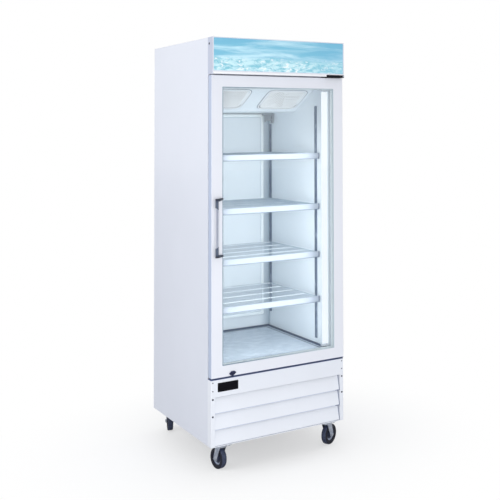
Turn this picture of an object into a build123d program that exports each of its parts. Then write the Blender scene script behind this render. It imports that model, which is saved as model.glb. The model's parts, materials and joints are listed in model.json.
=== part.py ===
from build123d import *

import math
import os

# Glass door merchandiser: a tall one-door refrigerated display cabinet on casters.
# Millimetres. X runs across the front, +Y towards the back, +Z up.
# The origin is on the floor, below the centre of the object's outline.

# ---------------------------------------------------------------- driving dimensions
body_width = 700.0
body_depth = 750.0
overall_height = 2030.0
caster_height = 125.0
door_thickness = 45.0
handle_reach = 42.0
plug_reach = 25.0

sheet = 1.2
insulation = 60.0
side_x = body_width / 2
front_y = -(body_depth + plug_reach - door_thickness - handle_reach) / 2
back_y = front_y + body_depth
door_front_y = front_y - door_thickness

# Heights of the front, from the floor up
front_panel_top = 436.0
door_bottom = 441.0
door_top = 1850.0
sign_bottom = 1856.0

# Storage space
liner_wall = 1.5
inner_x = side_x - insulation
floor_z = 480.0
ceiling_z = 1800.0
inner_back_y = front_y + 700.0
foam_bottom = 434.0
foam_top = 1862.0

# Door
frame_width = 57.0
frame_depth = 35.0
glass_opening_x = side_x - frame_width
glass_lip = 6.0
glass_grip = 12.0
pane_thickness = 4.0
pane_gap = 12.0
hinge_x = side_x - 15.0
hinge_y = front_y - 25.0
hinge_pin_radius = 5.0
bush_radius = 8.0
running_gap = 0.05

# Shelves
shelf_tops = (736.0, 965.0, 1210.0, 1470.0)
shelf_front_y = front_y + 92.0
shelf_back_y = front_y + 668.0
shelf_half_width = inner_x - 9.0
rail_height = 30.0

# Evaporator cover, in the roof of the storage space
cover_nose_y = front_y + 150.0
cover_nose_z = ceiling_z - 0.5
cover_bend_y = front_y + 362.0
cover_bend_z = 1690.0
cover_flat_y = front_y + 416.0
cover_flat_z = 1685.0
cover_angle = math.atan2(cover_nose_z - cover_bend_z, cover_bend_y - cover_nose_y)
fan_opening_x = 157.0
fan_slope_centre = 128.0

# Casters
caster_x = 278.0
caster_front_y = front_y + 10.0
caster_back_y = front_y + 700.0
wheel_radius = 50.0
wheel_width = 28.0
caster_trail = 24.0
axle_radius = 5.0

os.makedirs("parts", exist_ok=True)


def block(x_limits, y_limits, z_limits, mode=Mode.ADD):
    """Add or cut the box between two x, two y and two z limits."""
    centre = [sum(limits) / 2 for limits in (x_limits, y_limits, z_limits)]
    with Locations(tuple(centre)):
        Box(
            x_limits[1] - x_limits[0],
            y_limits[1] - y_limits[0],
            z_limits[1] - z_limits[0],
            mode=mode,
        )


# ================================================================ cabinet
# Outer wrapper: one sheet bent over both sides and the roof, open at the bottom
wrapper_bend = 3.0
with BuildPart() as outer_wrapper:
    with BuildSketch(Plane.XZ.offset(-back_y)) as wrapper_profile:
        with Locations((0, (caster_height + overall_height) / 2)):
            Rectangle(body_width, overall_height - caster_height)
        fillet(wrapper_profile.vertices().group_by(Axis.Y)[-1], wrapper_bend)
        with Locations((0, (caster_height + overall_height - sheet) / 2)):
            Rectangle(body_width - 2 * sheet, overall_height - sheet - caster_height, mode=Mode.SUBTRACT)
    extrude(amount=body_depth)
outer_wrapper.part.label = "outer_wrapper"
export_step(outer_wrapper.part, "parts/outer_wrapper.step")

# Back panel of the insulated body, with three pressed stiffening beads
panel_top = overall_height - sheet - wrapper_bend
bead_width = 5.0
bead_proud = 1.5
with BuildPart() as back_panel:
    block((-side_x + sheet, side_x - sheet), (back_y - sheet, back_y), (front_panel_top, panel_top))
    with BuildSketch(Plane.XZ.offset(-back_y)):
        with GridLocations(0, 420, 1, 3):
            with Locations((0, (front_panel_top + overall_height) / 2)):
                RectangleRounded(560, 260, 20)
                RectangleRounded(
                    560 - 2 * bead_width,
                    260 - 2 * bead_width,
                    20 - bead_width,
                    mode=Mode.SUBTRACT,
                )
    extrude(amount=-bead_proud)
back_panel.part.label = "back_panel"
export_step(back_panel.part, "parts/back_panel.step")

# Face frame: the steel face that the door's magnetic seal closes against
breaker_width = 10.0
with BuildPart() as face_frame:
    with BuildSketch(Plane.XZ.offset(-front_y)):
        with Locations((0, (front_panel_top + panel_top) / 2)):
            Rectangle(2 * (side_x - sheet), panel_top - front_panel_top)
        with Locations((0, (floor_z + ceiling_z) / 2)):
            Rectangle(
                2 * (inner_x + breaker_width),
                ceiling_z - floor_z + 2 * breaker_width,
                mode=Mode.SUBTRACT,
            )
    extrude(amount=-sheet)
face_frame.part.label = "face_frame"
export_step(face_frame.part, "parts/face_frame.step")

# Foam body: the insulation between the outer sheets and the liner
foam_front_y = front_y + sheet
with BuildPart() as foam_body:
    block((-side_x + sheet, side_x - sheet), (foam_front_y, back_y - sheet), (foam_bottom, foam_top))
    block(
        (-inner_x - liner_wall, inner_x + liner_wall),
        (foam_front_y - 1, inner_back_y + liner_wall),
        (floor_z - liner_wall, ceiling_z + liner_wall),
        mode=Mode.SUBTRACT,
    )
    block(
        (-inner_x - breaker_width, inner_x + breaker_width),
        (foam_front_y - 1, foam_front_y + liner_wall),
        (floor_z - breaker_width, ceiling_z + breaker_width),
        mode=Mode.SUBTRACT,
    )
foam_body.part.label = "foam_body"
export_step(foam_body.part, "parts/foam_body.step")

# Liner: the inner tub, with a flange that meets the face frame
with BuildPart() as liner:
    block(
        (-inner_x - liner_wall, inner_x + liner_wall),
        (foam_front_y, inner_back_y + liner_wall),
        (floor_z - liner_wall, ceiling_z + liner_wall),
    )
    block(
        (-inner_x - breaker_width, inner_x + breaker_width),
        (foam_front_y, foam_front_y + liner_wall),
        (floor_z - breaker_width, ceiling_z + breaker_width),
    )
    block(
        (-inner_x, inner_x),
        (foam_front_y - 1, inner_back_y),
        (floor_z, ceiling_z),
        mode=Mode.SUBTRACT,
    )
liner.part.label = "liner"
export_step(liner.part, "parts/liner.step")

# Floor pan: a shallow metal tray with a turned-up lip on three sides
pan_lip = 12.0
pan_wall = 2.0
pan_front_y = front_y + 4.0
pan_back_y = inner_back_y - 4.0
pan_x = inner_x - 4.0
pan_depth = pan_back_y - pan_front_y
pan_bead_inset = 16.0
with BuildPart() as floor_pan:
    block((-pan_x, pan_x), (pan_front_y, pan_back_y), (floor_z, floor_z + pan_lip))
    block(
        (-pan_x + pan_wall, pan_x - pan_wall),
        (pan_front_y - 1, pan_back_y - pan_wall),
        (floor_z + pan_wall, floor_z + pan_lip + 1),
        mode=Mode.SUBTRACT,
    )
    with BuildSketch(Plane.XY.offset(floor_z + pan_wall)):
        with Locations((0, (pan_front_y + pan_back_y) / 2)):
            Rectangle(2 * (pan_x - pan_bead_inset), pan_depth - 2 * pan_bead_inset)
            Rectangle(
                2 * (pan_x - pan_bead_inset - bead_width),
                pan_depth - 2 * (pan_bead_inset + bead_width),
                mode=Mode.SUBTRACT,
            )
    extrude(amount=bead_proud)
floor_pan.part.label = "floor_pan"
export_step(floor_pan.part, "parts/floor_pan.step")

# Duct panel: the cold air channel that stands off the back of the liner
duct_x = 250.0
duct_bottom = 556.0
duct_top = cover_flat_z - 6.0
duct_front_y = inner_back_y - 22.0
duct_wall = 1.5
with BuildPart() as duct_panel:
    block((-duct_x, duct_x), (duct_front_y, inner_back_y), (duct_bottom, duct_top))
    fillet(duct_panel.edges().filter_by(Axis.Z).group_by(Axis.Y)[0], 4.0)
    block(
        (-duct_x + duct_wall, duct_x - duct_wall),
        (duct_front_y + duct_wall, inner_back_y + 1),
        (duct_bottom + duct_wall, duct_top + 1),
        mode=Mode.SUBTRACT,
    )
    with BuildSketch(Plane.XZ.offset(-duct_front_y)):
        with Locations((0, (duct_bottom + duct_top) / 2)):
            with GridLocations(2 * duct_x - 60, 240, 2, 5):
                SlotOverall(60, 7, rotation=90)
    extrude(amount=-duct_wall - 0.5, mode=Mode.SUBTRACT)
duct_panel.part.label = "duct_panel"
export_step(duct_panel.part, "parts/duct_panel.step")

# ================================================================ evaporator
# The cover's sheet slopes down from the roof, then runs level to the back
cover_wall = 1.5
cover_half_width = inner_x - 1.0
guard_width = 222.0
guard_height = 196.0
guard_slope_centre = 112.0
guard_corner = 34.0
guard_border = 12.0
guard_places = [(side * fan_opening_x, -guard_slope_centre) for side in (-1, 1)]
slope_plane = Plane(
    origin=(0, cover_nose_y, cover_nose_z),
    x_dir=(1, 0, 0),
    z_dir=(0, -math.sin(cover_angle), -math.cos(cover_angle)),
)
# In slope_plane, local y runs up the slope, so a place down the slope is negative
with BuildPart() as evaporator_cover:
    with BuildSketch(Plane.YZ.offset(-cover_half_width)):
        with BuildLine():
            lower = Polyline(
                (cover_nose_y, cover_nose_z),
                (cover_bend_y, cover_bend_z),
                (cover_flat_y, cover_flat_z),
                (inner_back_y - 0.5, cover_flat_z),
            )
            offset(lower, amount=cover_wall, side=Side.LEFT)
        make_face()
    extrude(amount=2 * cover_half_width)
    block(
        (-side_x, side_x),
        (cover_nose_y - 20, cover_nose_y + 20),
        (cover_nose_z, ceiling_z + 20),
        mode=Mode.SUBTRACT,
    )
    with BuildSketch(slope_plane):
        with Locations(*guard_places):
            RectangleRounded(
                guard_width - 2 * guard_border,
                guard_height - 2 * guard_border,
                guard_corner - guard_border,
            )
    extrude(amount=4 * cover_wall, both=True, mode=Mode.SUBTRACT)
evaporator_cover.part.label = "evaporator_cover"
export_step(evaporator_cover.part, "parts/evaporator_cover.step")

# Fan guards: pressed plates with staggered round holes, one below each fan
hole_pitch = 10.0
hole_radius = 2.7
guard_gap = 0.2
rib_outset = 7.0
rib_width = 5.0
with BuildPart() as fan_guards:
    with BuildSketch(slope_plane.offset(guard_gap)):
        with Locations(*guard_places):
            RectangleRounded(guard_width, guard_height, guard_corner)
            with GridLocations(hole_pitch, hole_pitch, 18, 15):
                Circle(hole_radius, mode=Mode.SUBTRACT)
            with Locations((hole_pitch / 2, hole_pitch / 2)):
                with GridLocations(hole_pitch, hole_pitch, 17, 14):
                    Circle(hole_radius, mode=Mode.SUBTRACT)
    extrude(amount=sheet)
    with BuildSketch(slope_plane.offset(guard_gap + sheet)):
        with Locations(*guard_places):
            RectangleRounded(
                guard_width - 2 * rib_outset,
                guard_height - 2 * rib_outset,
                guard_corner - rib_outset,
            )
            RectangleRounded(
                guard_width - 2 * (rib_outset + rib_width),
                guard_height - 2 * (rib_outset + rib_width),
                guard_corner - rib_outset - rib_width,
                mode=Mode.SUBTRACT,
            )
    extrude(amount=2.0)
fan_guards.part.label = "fan_guards"
export_step(fan_guards.part, "parts/fan_guards.step")

# Evaporator coil: flat fins threaded on copper tubes, above the cover
tube_radius = 5.0
fin_thickness = 0.8
coil_half_width = 240.0
coil_front_y = front_y + 430.0
coil_back_y = front_y + 610.0
coil_bottom = cover_flat_z + cover_wall + 6
coil_top = ceiling_z - 6
coil_mid_y = (coil_front_y + coil_back_y) / 2
coil_mid_z = (coil_bottom + coil_top) / 2
with BuildPart() as evaporator_coil:
    with BuildSketch(Plane.YZ.offset(-coil_half_width)):
        with Locations((coil_mid_y, coil_mid_z)):
            with GridLocations(50, 50, 3, 2):
                Circle(tube_radius)
    extrude(amount=2 * coil_half_width)
    with Locations((0, coil_mid_y, coil_mid_z)):
        with GridLocations(16, 1, 31, 1):
            Box(fin_thickness, coil_back_y - coil_front_y, coil_top - coil_bottom)
evaporator_coil.part.label = "evaporator_coil"
export_step(evaporator_coil.part, "parts/evaporator_coil.step")


# ================================================================ fans
shaft_radius = 3.0
hub_radius = 20.0
hub_depth = 16.0


def fan_rotor(tip_radius, blade_count):
    """Return an axial fan: a hub with a blind shaft hole and pitched blades. Its front is z = 0."""
    blade_length = tip_radius - hub_radius + 3
    with BuildPart() as rotor:
        with BuildSketch(Plane.XY.offset(-hub_depth)):
            Circle(hub_radius)
        extrude(amount=hub_depth)
        fillet(rotor.edges().group_by(Axis.Z)[-1], 3.0)
        with Locations((0, 0, -hub_depth / 2)):
            with PolarLocations(tip_radius - blade_length / 2, blade_count):
                with Locations(Rotation(28, 0, 0)):
                    Box(blade_length, hub_radius * 1.6, 1.6)
        with BuildSketch(Plane.XY.offset(-hub_depth - 4)):
            Circle(tip_radius + 20)
            Circle(tip_radius, mode=Mode.SUBTRACT)
        extrude(amount=hub_depth + 8, mode=Mode.SUBTRACT)
        with BuildSketch(Plane.XY.offset(-hub_depth)):
            Circle(shaft_radius + running_gap)
        extrude(amount=hub_depth - 5, mode=Mode.SUBTRACT)
    return rotor.part


def fan_motor(motor_radius, motor_depth, arm_reach, foot_z):
    """Return a fan motor behind its rotor, with its shaft and two arms whose feet end at foot_z."""
    motor_front = -hub_depth - 2
    with BuildPart() as motor:
        with BuildSketch(Plane.XY.offset(motor_front - motor_depth)):
            Circle(motor_radius)
        extrude(amount=motor_depth)
        fillet(motor.edges().group_by(Axis.Z)[0], 3.0)
        with BuildSketch(Plane.XY.offset(motor_front)):
            Circle(shaft_radius)
        extrude(amount=hub_depth - 5)
        block((-arm_reach, arm_reach), (-6, 6), (motor_front - 6, motor_front - 2))
        block((-arm_reach, -arm_reach + 4), (-6, 6), (motor_front - 6, foot_z))
        block((arm_reach - 4, arm_reach), (-6, 6), (motor_front - 6, foot_z))
    return motor.part


# Evaporator fans: their axes stand square to the slope of the cover
evaporator_fan_radius = 72.0
evaporator_fan_depth = 4.0
evaporator_rotor = fan_rotor(evaporator_fan_radius, 5)
fan_plane = slope_plane.offset(-evaporator_fan_depth)
fan_seats = [
    fan_plane.location * Location((side * fan_opening_x, -fan_slope_centre, 0)) for side in (-1, 1)
]
motor_arm_reach = guard_width / 2 - 4.0
with BuildPart() as evaporator_fan_left:
    add(evaporator_rotor.moved(fan_seats[0]))
evaporator_fan_left.part.label = "evaporator_fan_left"
export_step(evaporator_fan_left.part, "parts/evaporator_fan_left.step")

with BuildPart() as evaporator_fan_right:
    add(evaporator_rotor.moved(fan_seats[1]))
evaporator_fan_right.part.label = "evaporator_fan_right"
export_step(evaporator_fan_right.part, "parts/evaporator_fan_right.step")

# Condenser fan: blows towards the back, behind the condenser coil
condenser_x = -60.0
condenser_z = 275.0
condenser_half_width = 180.0
condenser_front_y = front_y + 45.0
condenser_back_y = front_y + 95.0
condenser_fan_radius = 100.0
condenser_fan_y = condenser_back_y + 12.0
condenser_seat = Plane(
    origin=(condenser_x, condenser_fan_y, condenser_z),
    x_dir=(1, 0, 0),
    z_dir=(0, -1, 0),
).location
with BuildPart() as condenser_fan:
    add(fan_rotor(condenser_fan_radius, 7).moved(condenser_seat))
condenser_fan.part.label = "condenser_fan"
export_step(condenser_fan.part, "parts/condenser_fan.step")

# Fan motors: two above the evaporator cover, one behind the condenser
shroud_front_y = condenser_back_y + 2.0
shroud_back_y = condenser_back_y + 40.0
with BuildPart() as fan_motors:
    for seat in fan_seats:
        add(fan_motor(24.0, 22.0, motor_arm_reach, evaporator_fan_depth - cover_wall).moved(seat))
    condenser_foot = condenser_fan_y - shroud_front_y - sheet
    add(fan_motor(32.0, 50.0, 128.0, condenser_foot).moved(condenser_seat))
fan_motors.part.label = "fan_motors"
export_step(fan_motors.part, "parts/fan_motors.step")

# ================================================================ shelves
standard_width = 18.0
standard_depth = 6.0
standard_wall = 1.2
slot_pitch = 20.0
# Each place is y, the lower end and the upper end
standards = (
    (front_y + 128.0, 515.0, 1713.0),
    (front_y + 668.0, 570.0, 1623.0),
)
with BuildPart() as shelf_standards:
    for y, low, high in standards:
        slot_count = int((high - low - 20) / slot_pitch)
        web_x = inner_x - standard_depth
        block((web_x, inner_x), (y - standard_width / 2, y + standard_width / 2), (low, high))
        block(
            (web_x + standard_wall, inner_x + 1),
            (y - standard_width / 2 + standard_wall, y + standard_width / 2 - standard_wall),
            (low - 1, high + 1),
            mode=Mode.SUBTRACT,
        )
        with BuildSketch(Plane.YZ.offset(web_x)):
            with Locations((y, (low + high) / 2)):
                with GridLocations(slot_pitch, slot_pitch, 1, slot_count):
                    Rectangle(4, 11)
        extrude(amount=standard_wall, mode=Mode.SUBTRACT)
    mirror(about=Plane.YZ)
shelf_standards.part.label = "shelf_standards"
export_step(shelf_standards.part, "parts/shelf_standards.step")

# Wire shelf: close wires run front to back between two side bars, and stouter bars cross below them
wire_radius = 1.1
bar_radius = 2.5
wire_gaps = 44
wire_drop = 4.0
wire_z = -wire_drop - wire_radius
weld_sink = 0.5
bar_z = wire_z - wire_radius - bar_radius + weld_sink
side_bar_x = shelf_half_width - bar_radius
wire_pitch = 2 * side_bar_x / wire_gaps
shelf_depth = shelf_back_y - shelf_front_y
cross_bar_count = 5
end_overhang = 6.0
cross_bar_pitch = (shelf_depth - 2 * end_overhang) / (cross_bar_count - 1)
with BuildPart() as shelf_grid:
    with BuildSketch(Plane.XZ.offset(-shelf_front_y)):
        with Locations((0, wire_z)):
            with GridLocations(wire_pitch, wire_pitch, wire_gaps - 1, 1):
                Circle(wire_radius)
    extrude(amount=-shelf_depth)
    with BuildSketch(Plane.YZ.offset(-side_bar_x)):
        with Locations(((shelf_front_y + shelf_back_y) / 2, bar_z)):
            with GridLocations(cross_bar_pitch, cross_bar_pitch, cross_bar_count, 1):
                Circle(bar_radius)
    extrude(amount=2 * side_bar_x)
    with BuildSketch(Plane.XZ.offset(-shelf_front_y)):
        for side in (-1, 1):
            with Locations((side * side_bar_x, wire_z - 0.5)):
                Circle(bar_radius)
    extrude(amount=-shelf_depth)
for number, top in enumerate(shelf_tops, start=1):
    with BuildPart() as wire_shelf:
        add(shelf_grid.part.moved(Location((0, 0, top))))
    wire_shelf.part.label = f"wire_shelf_{number}"
    export_step(wire_shelf.part, f"parts/wire_shelf_{number}.step")

# Price rails: the white channel along the front of each shelf
rail_depth = 10.0
rail_back_y = shelf_front_y - 0.1
rail_half_width = shelf_half_width + 2
label_groove = 1.2
label_height = rail_height - 7
with BuildPart() as price_rails:
    for top in shelf_tops:
        rail_mid_z = top - rail_height / 2
        with BuildSketch(Plane.YZ.offset(-rail_half_width)) as rail_section:
            with Locations((rail_back_y - rail_depth / 2, rail_mid_z)):
                Rectangle(rail_depth, rail_height)
            fillet(rail_section.vertices(), 1.5)
            with Locations((rail_back_y - rail_depth, rail_mid_z)):
                Rectangle(2 * label_groove, label_height, mode=Mode.SUBTRACT)
            with Locations((rail_back_y - 1, rail_mid_z - 4)):
                Rectangle(2 * (rail_depth - 4), rail_height - 14, mode=Mode.SUBTRACT)
        extrude(amount=2 * rail_half_width)
price_rails.part.label = "price_rails"
export_step(price_rails.part, "parts/price_rails.step")

# Shelf clips: four below each shelf, bearing on the faces of the standards
clip_x = inner_x - standard_depth
clip_reach = 16.0
clip_drop = 18.0
clip_width = 12.0
with BuildPart() as shelf_clips:
    for top in shelf_tops:
        clip_top = top + bar_z - bar_radius - 0.1
        for y, low, high in standards:
            clip_y = min(y, shelf_back_y - 8)
            with BuildSketch(Plane.XZ.offset(-clip_y - clip_width / 2)):
                with BuildLine():
                    Polyline(
                        (clip_x, clip_top),
                        (clip_x - clip_reach, clip_top),
                        (clip_x - clip_reach, clip_top - 3),
                        (clip_x - 4, clip_top - clip_drop),
                        (clip_x, clip_top - clip_drop),
                        close=True,
                    )
                make_face()
            extrude(amount=clip_width)
    mirror(about=Plane.YZ)
shelf_clips.part.label = "shelf_clips"
export_step(shelf_clips.part, "parts/shelf_clips.step")

# ================================================================ lights and small fittings
# LED lamps: the upright one lights the shelves, the level one lights the sign
lamp_width = 34.0
lamp_depth = 20.0
lamp_y = front_y + 4.0
lamp_bottom = floor_z + pan_lip + 6
lamp_top = ceiling_z - 6
sign_tube_radius = 13.0
sign_tube_length = 600.0
sign_tube_z = 1950.0
with BuildPart() as led_lamps:
    with BuildSketch(Plane.XY.offset(lamp_bottom)) as lamp_section:
        with BuildLine():
            Polyline(
                (inner_x - 0.5, lamp_y),
                (inner_x - 0.5, lamp_y + lamp_depth),
                (inner_x - 12, lamp_y + lamp_depth),
                (inner_x - lamp_width, lamp_y + 6),
                (inner_x - lamp_width, lamp_y),
                close=True,
            )
        make_face()
        fillet(lamp_section.vertices(), 2.0)
    extrude(amount=lamp_top - lamp_bottom)
    with BuildSketch(Plane.YZ.offset(-sign_tube_length / 2)):
        with Locations((front_y - sign_tube_radius - 3, sign_tube_z)):
            Circle(sign_tube_radius)
    extrude(amount=sign_tube_length)
led_lamps.part.label = "led_lamps"
export_step(led_lamps.part, "parts/led_lamps.step")

# Sensor clip: holds the air temperature probe below the evaporator cover
sensor_y = front_y + 640.0
sensor_x = (inner_x - 28, inner_x - 2)
sensor_top = cover_flat_z - 0.2
probe_length = 50.0
with BuildPart() as sensor_clip:
    block(sensor_x, (sensor_y, sensor_y + 3), (sensor_top - 30, sensor_top))
    block(sensor_x, (sensor_y - 14, sensor_y + 3), (sensor_top - 3, sensor_top))
    with BuildSketch(Plane.XY.offset(sensor_top - 4 - probe_length)):
        with Locations((inner_x - 8, sensor_y - 3)):
            Circle(4)
    extrude(amount=probe_length)
sensor_clip.part.label = "sensor_clip"
export_step(sensor_clip.part, "parts/sensor_clip.step")

# ================================================================ lighted sign
sign_depth = 60.0
sign_front_y = front_y - sign_depth
sign_ledge = 2.0
sign_rail_top = 1867.0
sign_window_bottom = 1872.0
sign_window_top = overall_height - 4.0
sign_window_x = side_x - 5.0
with BuildPart() as sign_housing:
    block((-side_x, side_x), (sign_front_y, front_y), (sign_bottom, overall_height))
    fillet(sign_housing.edges().filter_by(Axis.X).group_by(Axis.Y)[0].group_by(Axis.Z)[-1], 2.0)
    with BuildSketch(Plane.YZ.offset(-side_x)):
        with Locations((sign_front_y + 1, (sign_bottom + sign_rail_top) / 2)):
            RectangleRounded(2 * sign_ledge + 2, sign_rail_top - sign_bottom, 1.8)
    extrude(amount=2 * side_x)
    block(
        (-side_x + sheet, side_x - sheet),
        (sign_front_y + sheet, front_y + 1),
        (sign_bottom + sheet, overall_height - sheet),
        mode=Mode.SUBTRACT,
    )
    block(
        (-sign_window_x, sign_window_x),
        (sign_front_y - 5, sign_front_y + 5),
        (sign_window_bottom, sign_window_top),
        mode=Mode.SUBTRACT,
    )
sign_housing.part.label = "sign_housing"
export_step(sign_housing.part, "parts/sign_housing.step")

# Sign panel: the printed acrylic sheet behind the window's edges
with BuildPart() as sign_panel:
    block(
        (-side_x + 2, side_x - 2),
        (sign_front_y + sheet, sign_front_y + sheet + 3),
        (sign_bottom + 2, overall_height - 2),
    )
sign_panel.part.label = "sign_panel"
export_step(sign_panel.part, "parts/sign_panel.step")

# ================================================================ lower front
panel_front_y = front_y - 40.0
stile_width = 20.0
slat_edges = (354.0, 276.0, 201.0, 129.0)
bolt_x = -247.0
bolt_width = 8.0
bolt_front_y = door_front_y + 15.0
bolt_back_y = door_front_y + 21.0
with BuildPart() as front_panel:
    block((-side_x, side_x), (panel_front_y, front_y), (caster_height, front_panel_top))
    fillet(front_panel.edges().group_by(Axis.Y)[0].filter_by(Axis.Z), 2.0)
    block(
        (-side_x + sheet, side_x - sheet),
        (panel_front_y + sheet, front_y + 1),
        (caster_height - 1, front_panel_top - sheet),
        mode=Mode.SUBTRACT,
    )
    block(
        (-side_x + stile_width, side_x - stile_width),
        (panel_front_y - 1, panel_front_y + 5),
        (caster_height + 4, slat_edges[0]),
        mode=Mode.SUBTRACT,
    )
    block(
        (-side_x + sheet, side_x - sheet),
        (front_y - 4, front_y + 1),
        (front_panel_top - 5, front_panel_top + 1),
        mode=Mode.SUBTRACT,
    )
    for side in (-1, 1):
        stile_x = side * (side_x - stile_width + sheet / 2)
        block(
            (stile_x - sheet / 2, stile_x + sheet / 2),
            (panel_front_y + sheet / 2, panel_front_y + 22),
            (caster_height + 3, slat_edges[0]),
        )
    block(
        (bolt_x - bolt_width / 2 - 1, bolt_x + bolt_width / 2 + 1),
        (bolt_front_y - 1, bolt_back_y + 1),
        (front_panel_top - 5, front_panel_top + 1),
        mode=Mode.SUBTRACT,
    )
front_panel.part.label = "front_panel"
export_step(front_panel.part, "parts/front_panel.step")

# Louvre slats: each leans out towards its foot and hides the air gap behind the next one
slat_recess = 18.0
slat_half_width = side_x - stile_width - 0.3
with BuildPart() as louvre_slats:
    for top, foot in zip(slat_edges, slat_edges[1:]):
        with BuildSketch(Plane.YZ.offset(-slat_half_width)):
            with BuildLine():
                slat_line = Polyline(
                    (panel_front_y + slat_recess, top + 6),
                    (panel_front_y + slat_recess, top - 2),
                    (panel_front_y + 0.2, foot + 4),
                    (panel_front_y + 0.2, foot + 1),
                    (panel_front_y + 9, foot + 1),
                )
                offset(slat_line, amount=sheet, side=Side.LEFT)
            make_face()
        extrude(amount=2 * slat_half_width)
louvre_slats.part.label = "louvre_slats"
export_step(louvre_slats.part, "parts/louvre_slats.step")

# Badge plate: a blank name plate
badge_x = -266.5
badge_z = 397.0
with BuildPart() as badge_plate:
    with BuildSketch(Plane.XZ.offset(-panel_front_y)):
        with Locations((badge_x, badge_z)):
            RectangleRounded(101, 42, 2)
    extrude(amount=1.5)
    chamfer(badge_plate.edges().group_by(Axis.Y)[0], 0.5)
badge_plate.part.label = "badge_plate"
export_step(badge_plate.part, "parts/badge_plate.step")

# Cover screws: pan heads on the front panel's stiles and on the ends of the sign
stile_screw_x = side_x - 9.0
small_head = 2.6
large_head = 4.2
# Each place is the height and the radius of the head
stile_screws = ((421.0, small_head), (383.0, small_head), (345.0, large_head), (266.0, large_head))
with BuildPart() as cover_screws:
    for side in (-1, 1):
        for z, radius in stile_screws:
            with BuildSketch(Plane.XZ.offset(-panel_front_y)):
                with Locations((side * stile_screw_x, z)):
                    Circle(radius)
            extrude(amount=1.4, taper=20)
        with BuildSketch(Plane.YZ.offset(side * side_x)):
            with Locations((front_y - 18, 2000)):
                Circle(5)
        extrude(amount=side * 1.5, taper=20)
cover_screws.part.label = "cover_screws"
export_step(cover_screws.part, "parts/cover_screws.step")

# ================================================================ door
pocket_front_y = door_front_y + glass_lip
pocket_back_y = pocket_front_y + 2 * pane_thickness + pane_gap
door_back_y = door_front_y + frame_depth
door_mid_z = (door_bottom + door_top) / 2
door_half_height = (door_top - door_bottom) / 2
lock_x = bolt_x
lock_z = 455.0
key_radius = 7.5
barrel_radius = 9.5
bar_x = -336.0
frame_wall = 2.5


def door_ring(front, back, opening_x, opening_margin, mode=Mode.ADD):
    """Add or cut a rectangular ring of the door between two depths, inside its outer edge."""
    with BuildSketch(Plane.XZ.offset(-back)) as ring:
        with Locations((0, door_mid_z)):
            Rectangle(2 * side_x - 2 * opening_margin, 2 * door_half_height - 2 * opening_margin)
            Rectangle(
                2 * opening_x,
                2 * (door_half_height - side_x + opening_x),
                mode=Mode.SUBTRACT,
            )
    extrude(ring.sketch, amount=back - front, mode=mode)


# Door frame: four mitred lengths of hollow section that wrap round the glass
mitre_gap = 0.1
with BuildPart() as door_frame:
    door_ring(door_front_y, pocket_front_y, glass_opening_x, 0)
    door_ring(pocket_front_y, pocket_back_y, glass_opening_x + glass_grip, 0)
    door_ring(pocket_back_y, door_back_y, glass_opening_x + 3, 0)
    fillet(door_frame.edges().filter_by(Axis.Z).group_by(Axis.Y)[0].group_by(Axis.X)[0], 2.5)
    fillet(door_frame.edges().filter_by(Axis.Z).group_by(Axis.Y)[0].group_by(Axis.X)[-1], 2.5)
    door_ring(
        door_front_y + frame_wall,
        door_back_y - frame_wall,
        glass_opening_x + glass_grip + frame_wall,
        frame_wall,
        mode=Mode.SUBTRACT,
    )
    for side in (-1, 1):
        for end in (-1, 1):
            corner = Plane(
                origin=(side * side_x, door_front_y, door_mid_z + end * door_half_height),
                x_dir=(0, 1, 0),
                z_dir=(side, 0, -end),
            )
            with BuildSketch(corner.offset(-mitre_gap / 2)) as mitre:
                Rectangle(200, 200)
            extrude(mitre.sketch, amount=mitre_gap, mode=Mode.SUBTRACT)
    with BuildSketch(Plane.XY.offset(door_bottom)) as pin_holes:
        with Locations((hinge_x, hinge_y)):
            Circle(bush_radius + running_gap)
    extrude(pin_holes.sketch, amount=door_top - door_bottom, mode=Mode.SUBTRACT)
    with BuildSketch(Plane.XZ.offset(-door_front_y - frame_wall - 1)) as barrel_hole:
        with Locations((lock_x, lock_z)):
            Circle(barrel_radius + running_gap)
    extrude(barrel_hole.sketch, amount=frame_wall + 2, mode=Mode.SUBTRACT)
    block(
        (bolt_x - bolt_width / 2 - 0.2, bolt_x + bolt_width / 2 + 0.2),
        (bolt_front_y - 0.2, bolt_back_y + 0.2),
        (door_bottom - 1, door_bottom + frame_wall + 1),
        mode=Mode.SUBTRACT,
    )
door_frame.part.label = "door_frame"
export_step(door_frame.part, "parts/door_frame.step")

# Glass: two panes with a sealed gap between them
pane_half_width = glass_opening_x + glass_grip - 1
pane_half_height = door_half_height - side_x + pane_half_width
pane_fronts = (pocket_front_y, pocket_front_y + pane_thickness + pane_gap)
with BuildPart() as glass_panes:
    for pane_front in pane_fronts:
        with BuildSketch(Plane.XZ.offset(-pane_front)):
            with Locations((0, door_mid_z)):
                Rectangle(2 * pane_half_width, 2 * pane_half_height)
        extrude(amount=-pane_thickness)
glass_panes.part.label = "glass_panes"
export_step(glass_panes.part, "parts/glass_panes.step")

# Glass spacer: the bar round the edge that holds the panes apart
spacer_width = 14.0
with BuildPart() as glass_spacer:
    with BuildSketch(Plane.XZ.offset(-pocket_front_y - pane_thickness)):
        with Locations((0, door_mid_z)):
            Rectangle(2 * pane_half_width - 4, 2 * pane_half_height - 4)
            Rectangle(
                2 * (pane_half_width - spacer_width),
                2 * (pane_half_height - spacer_width),
                mode=Mode.SUBTRACT,
            )
    extrude(amount=-pane_gap)
glass_spacer.part.label = "glass_spacer"
export_step(glass_spacer.part, "parts/glass_spacer.step")

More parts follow.
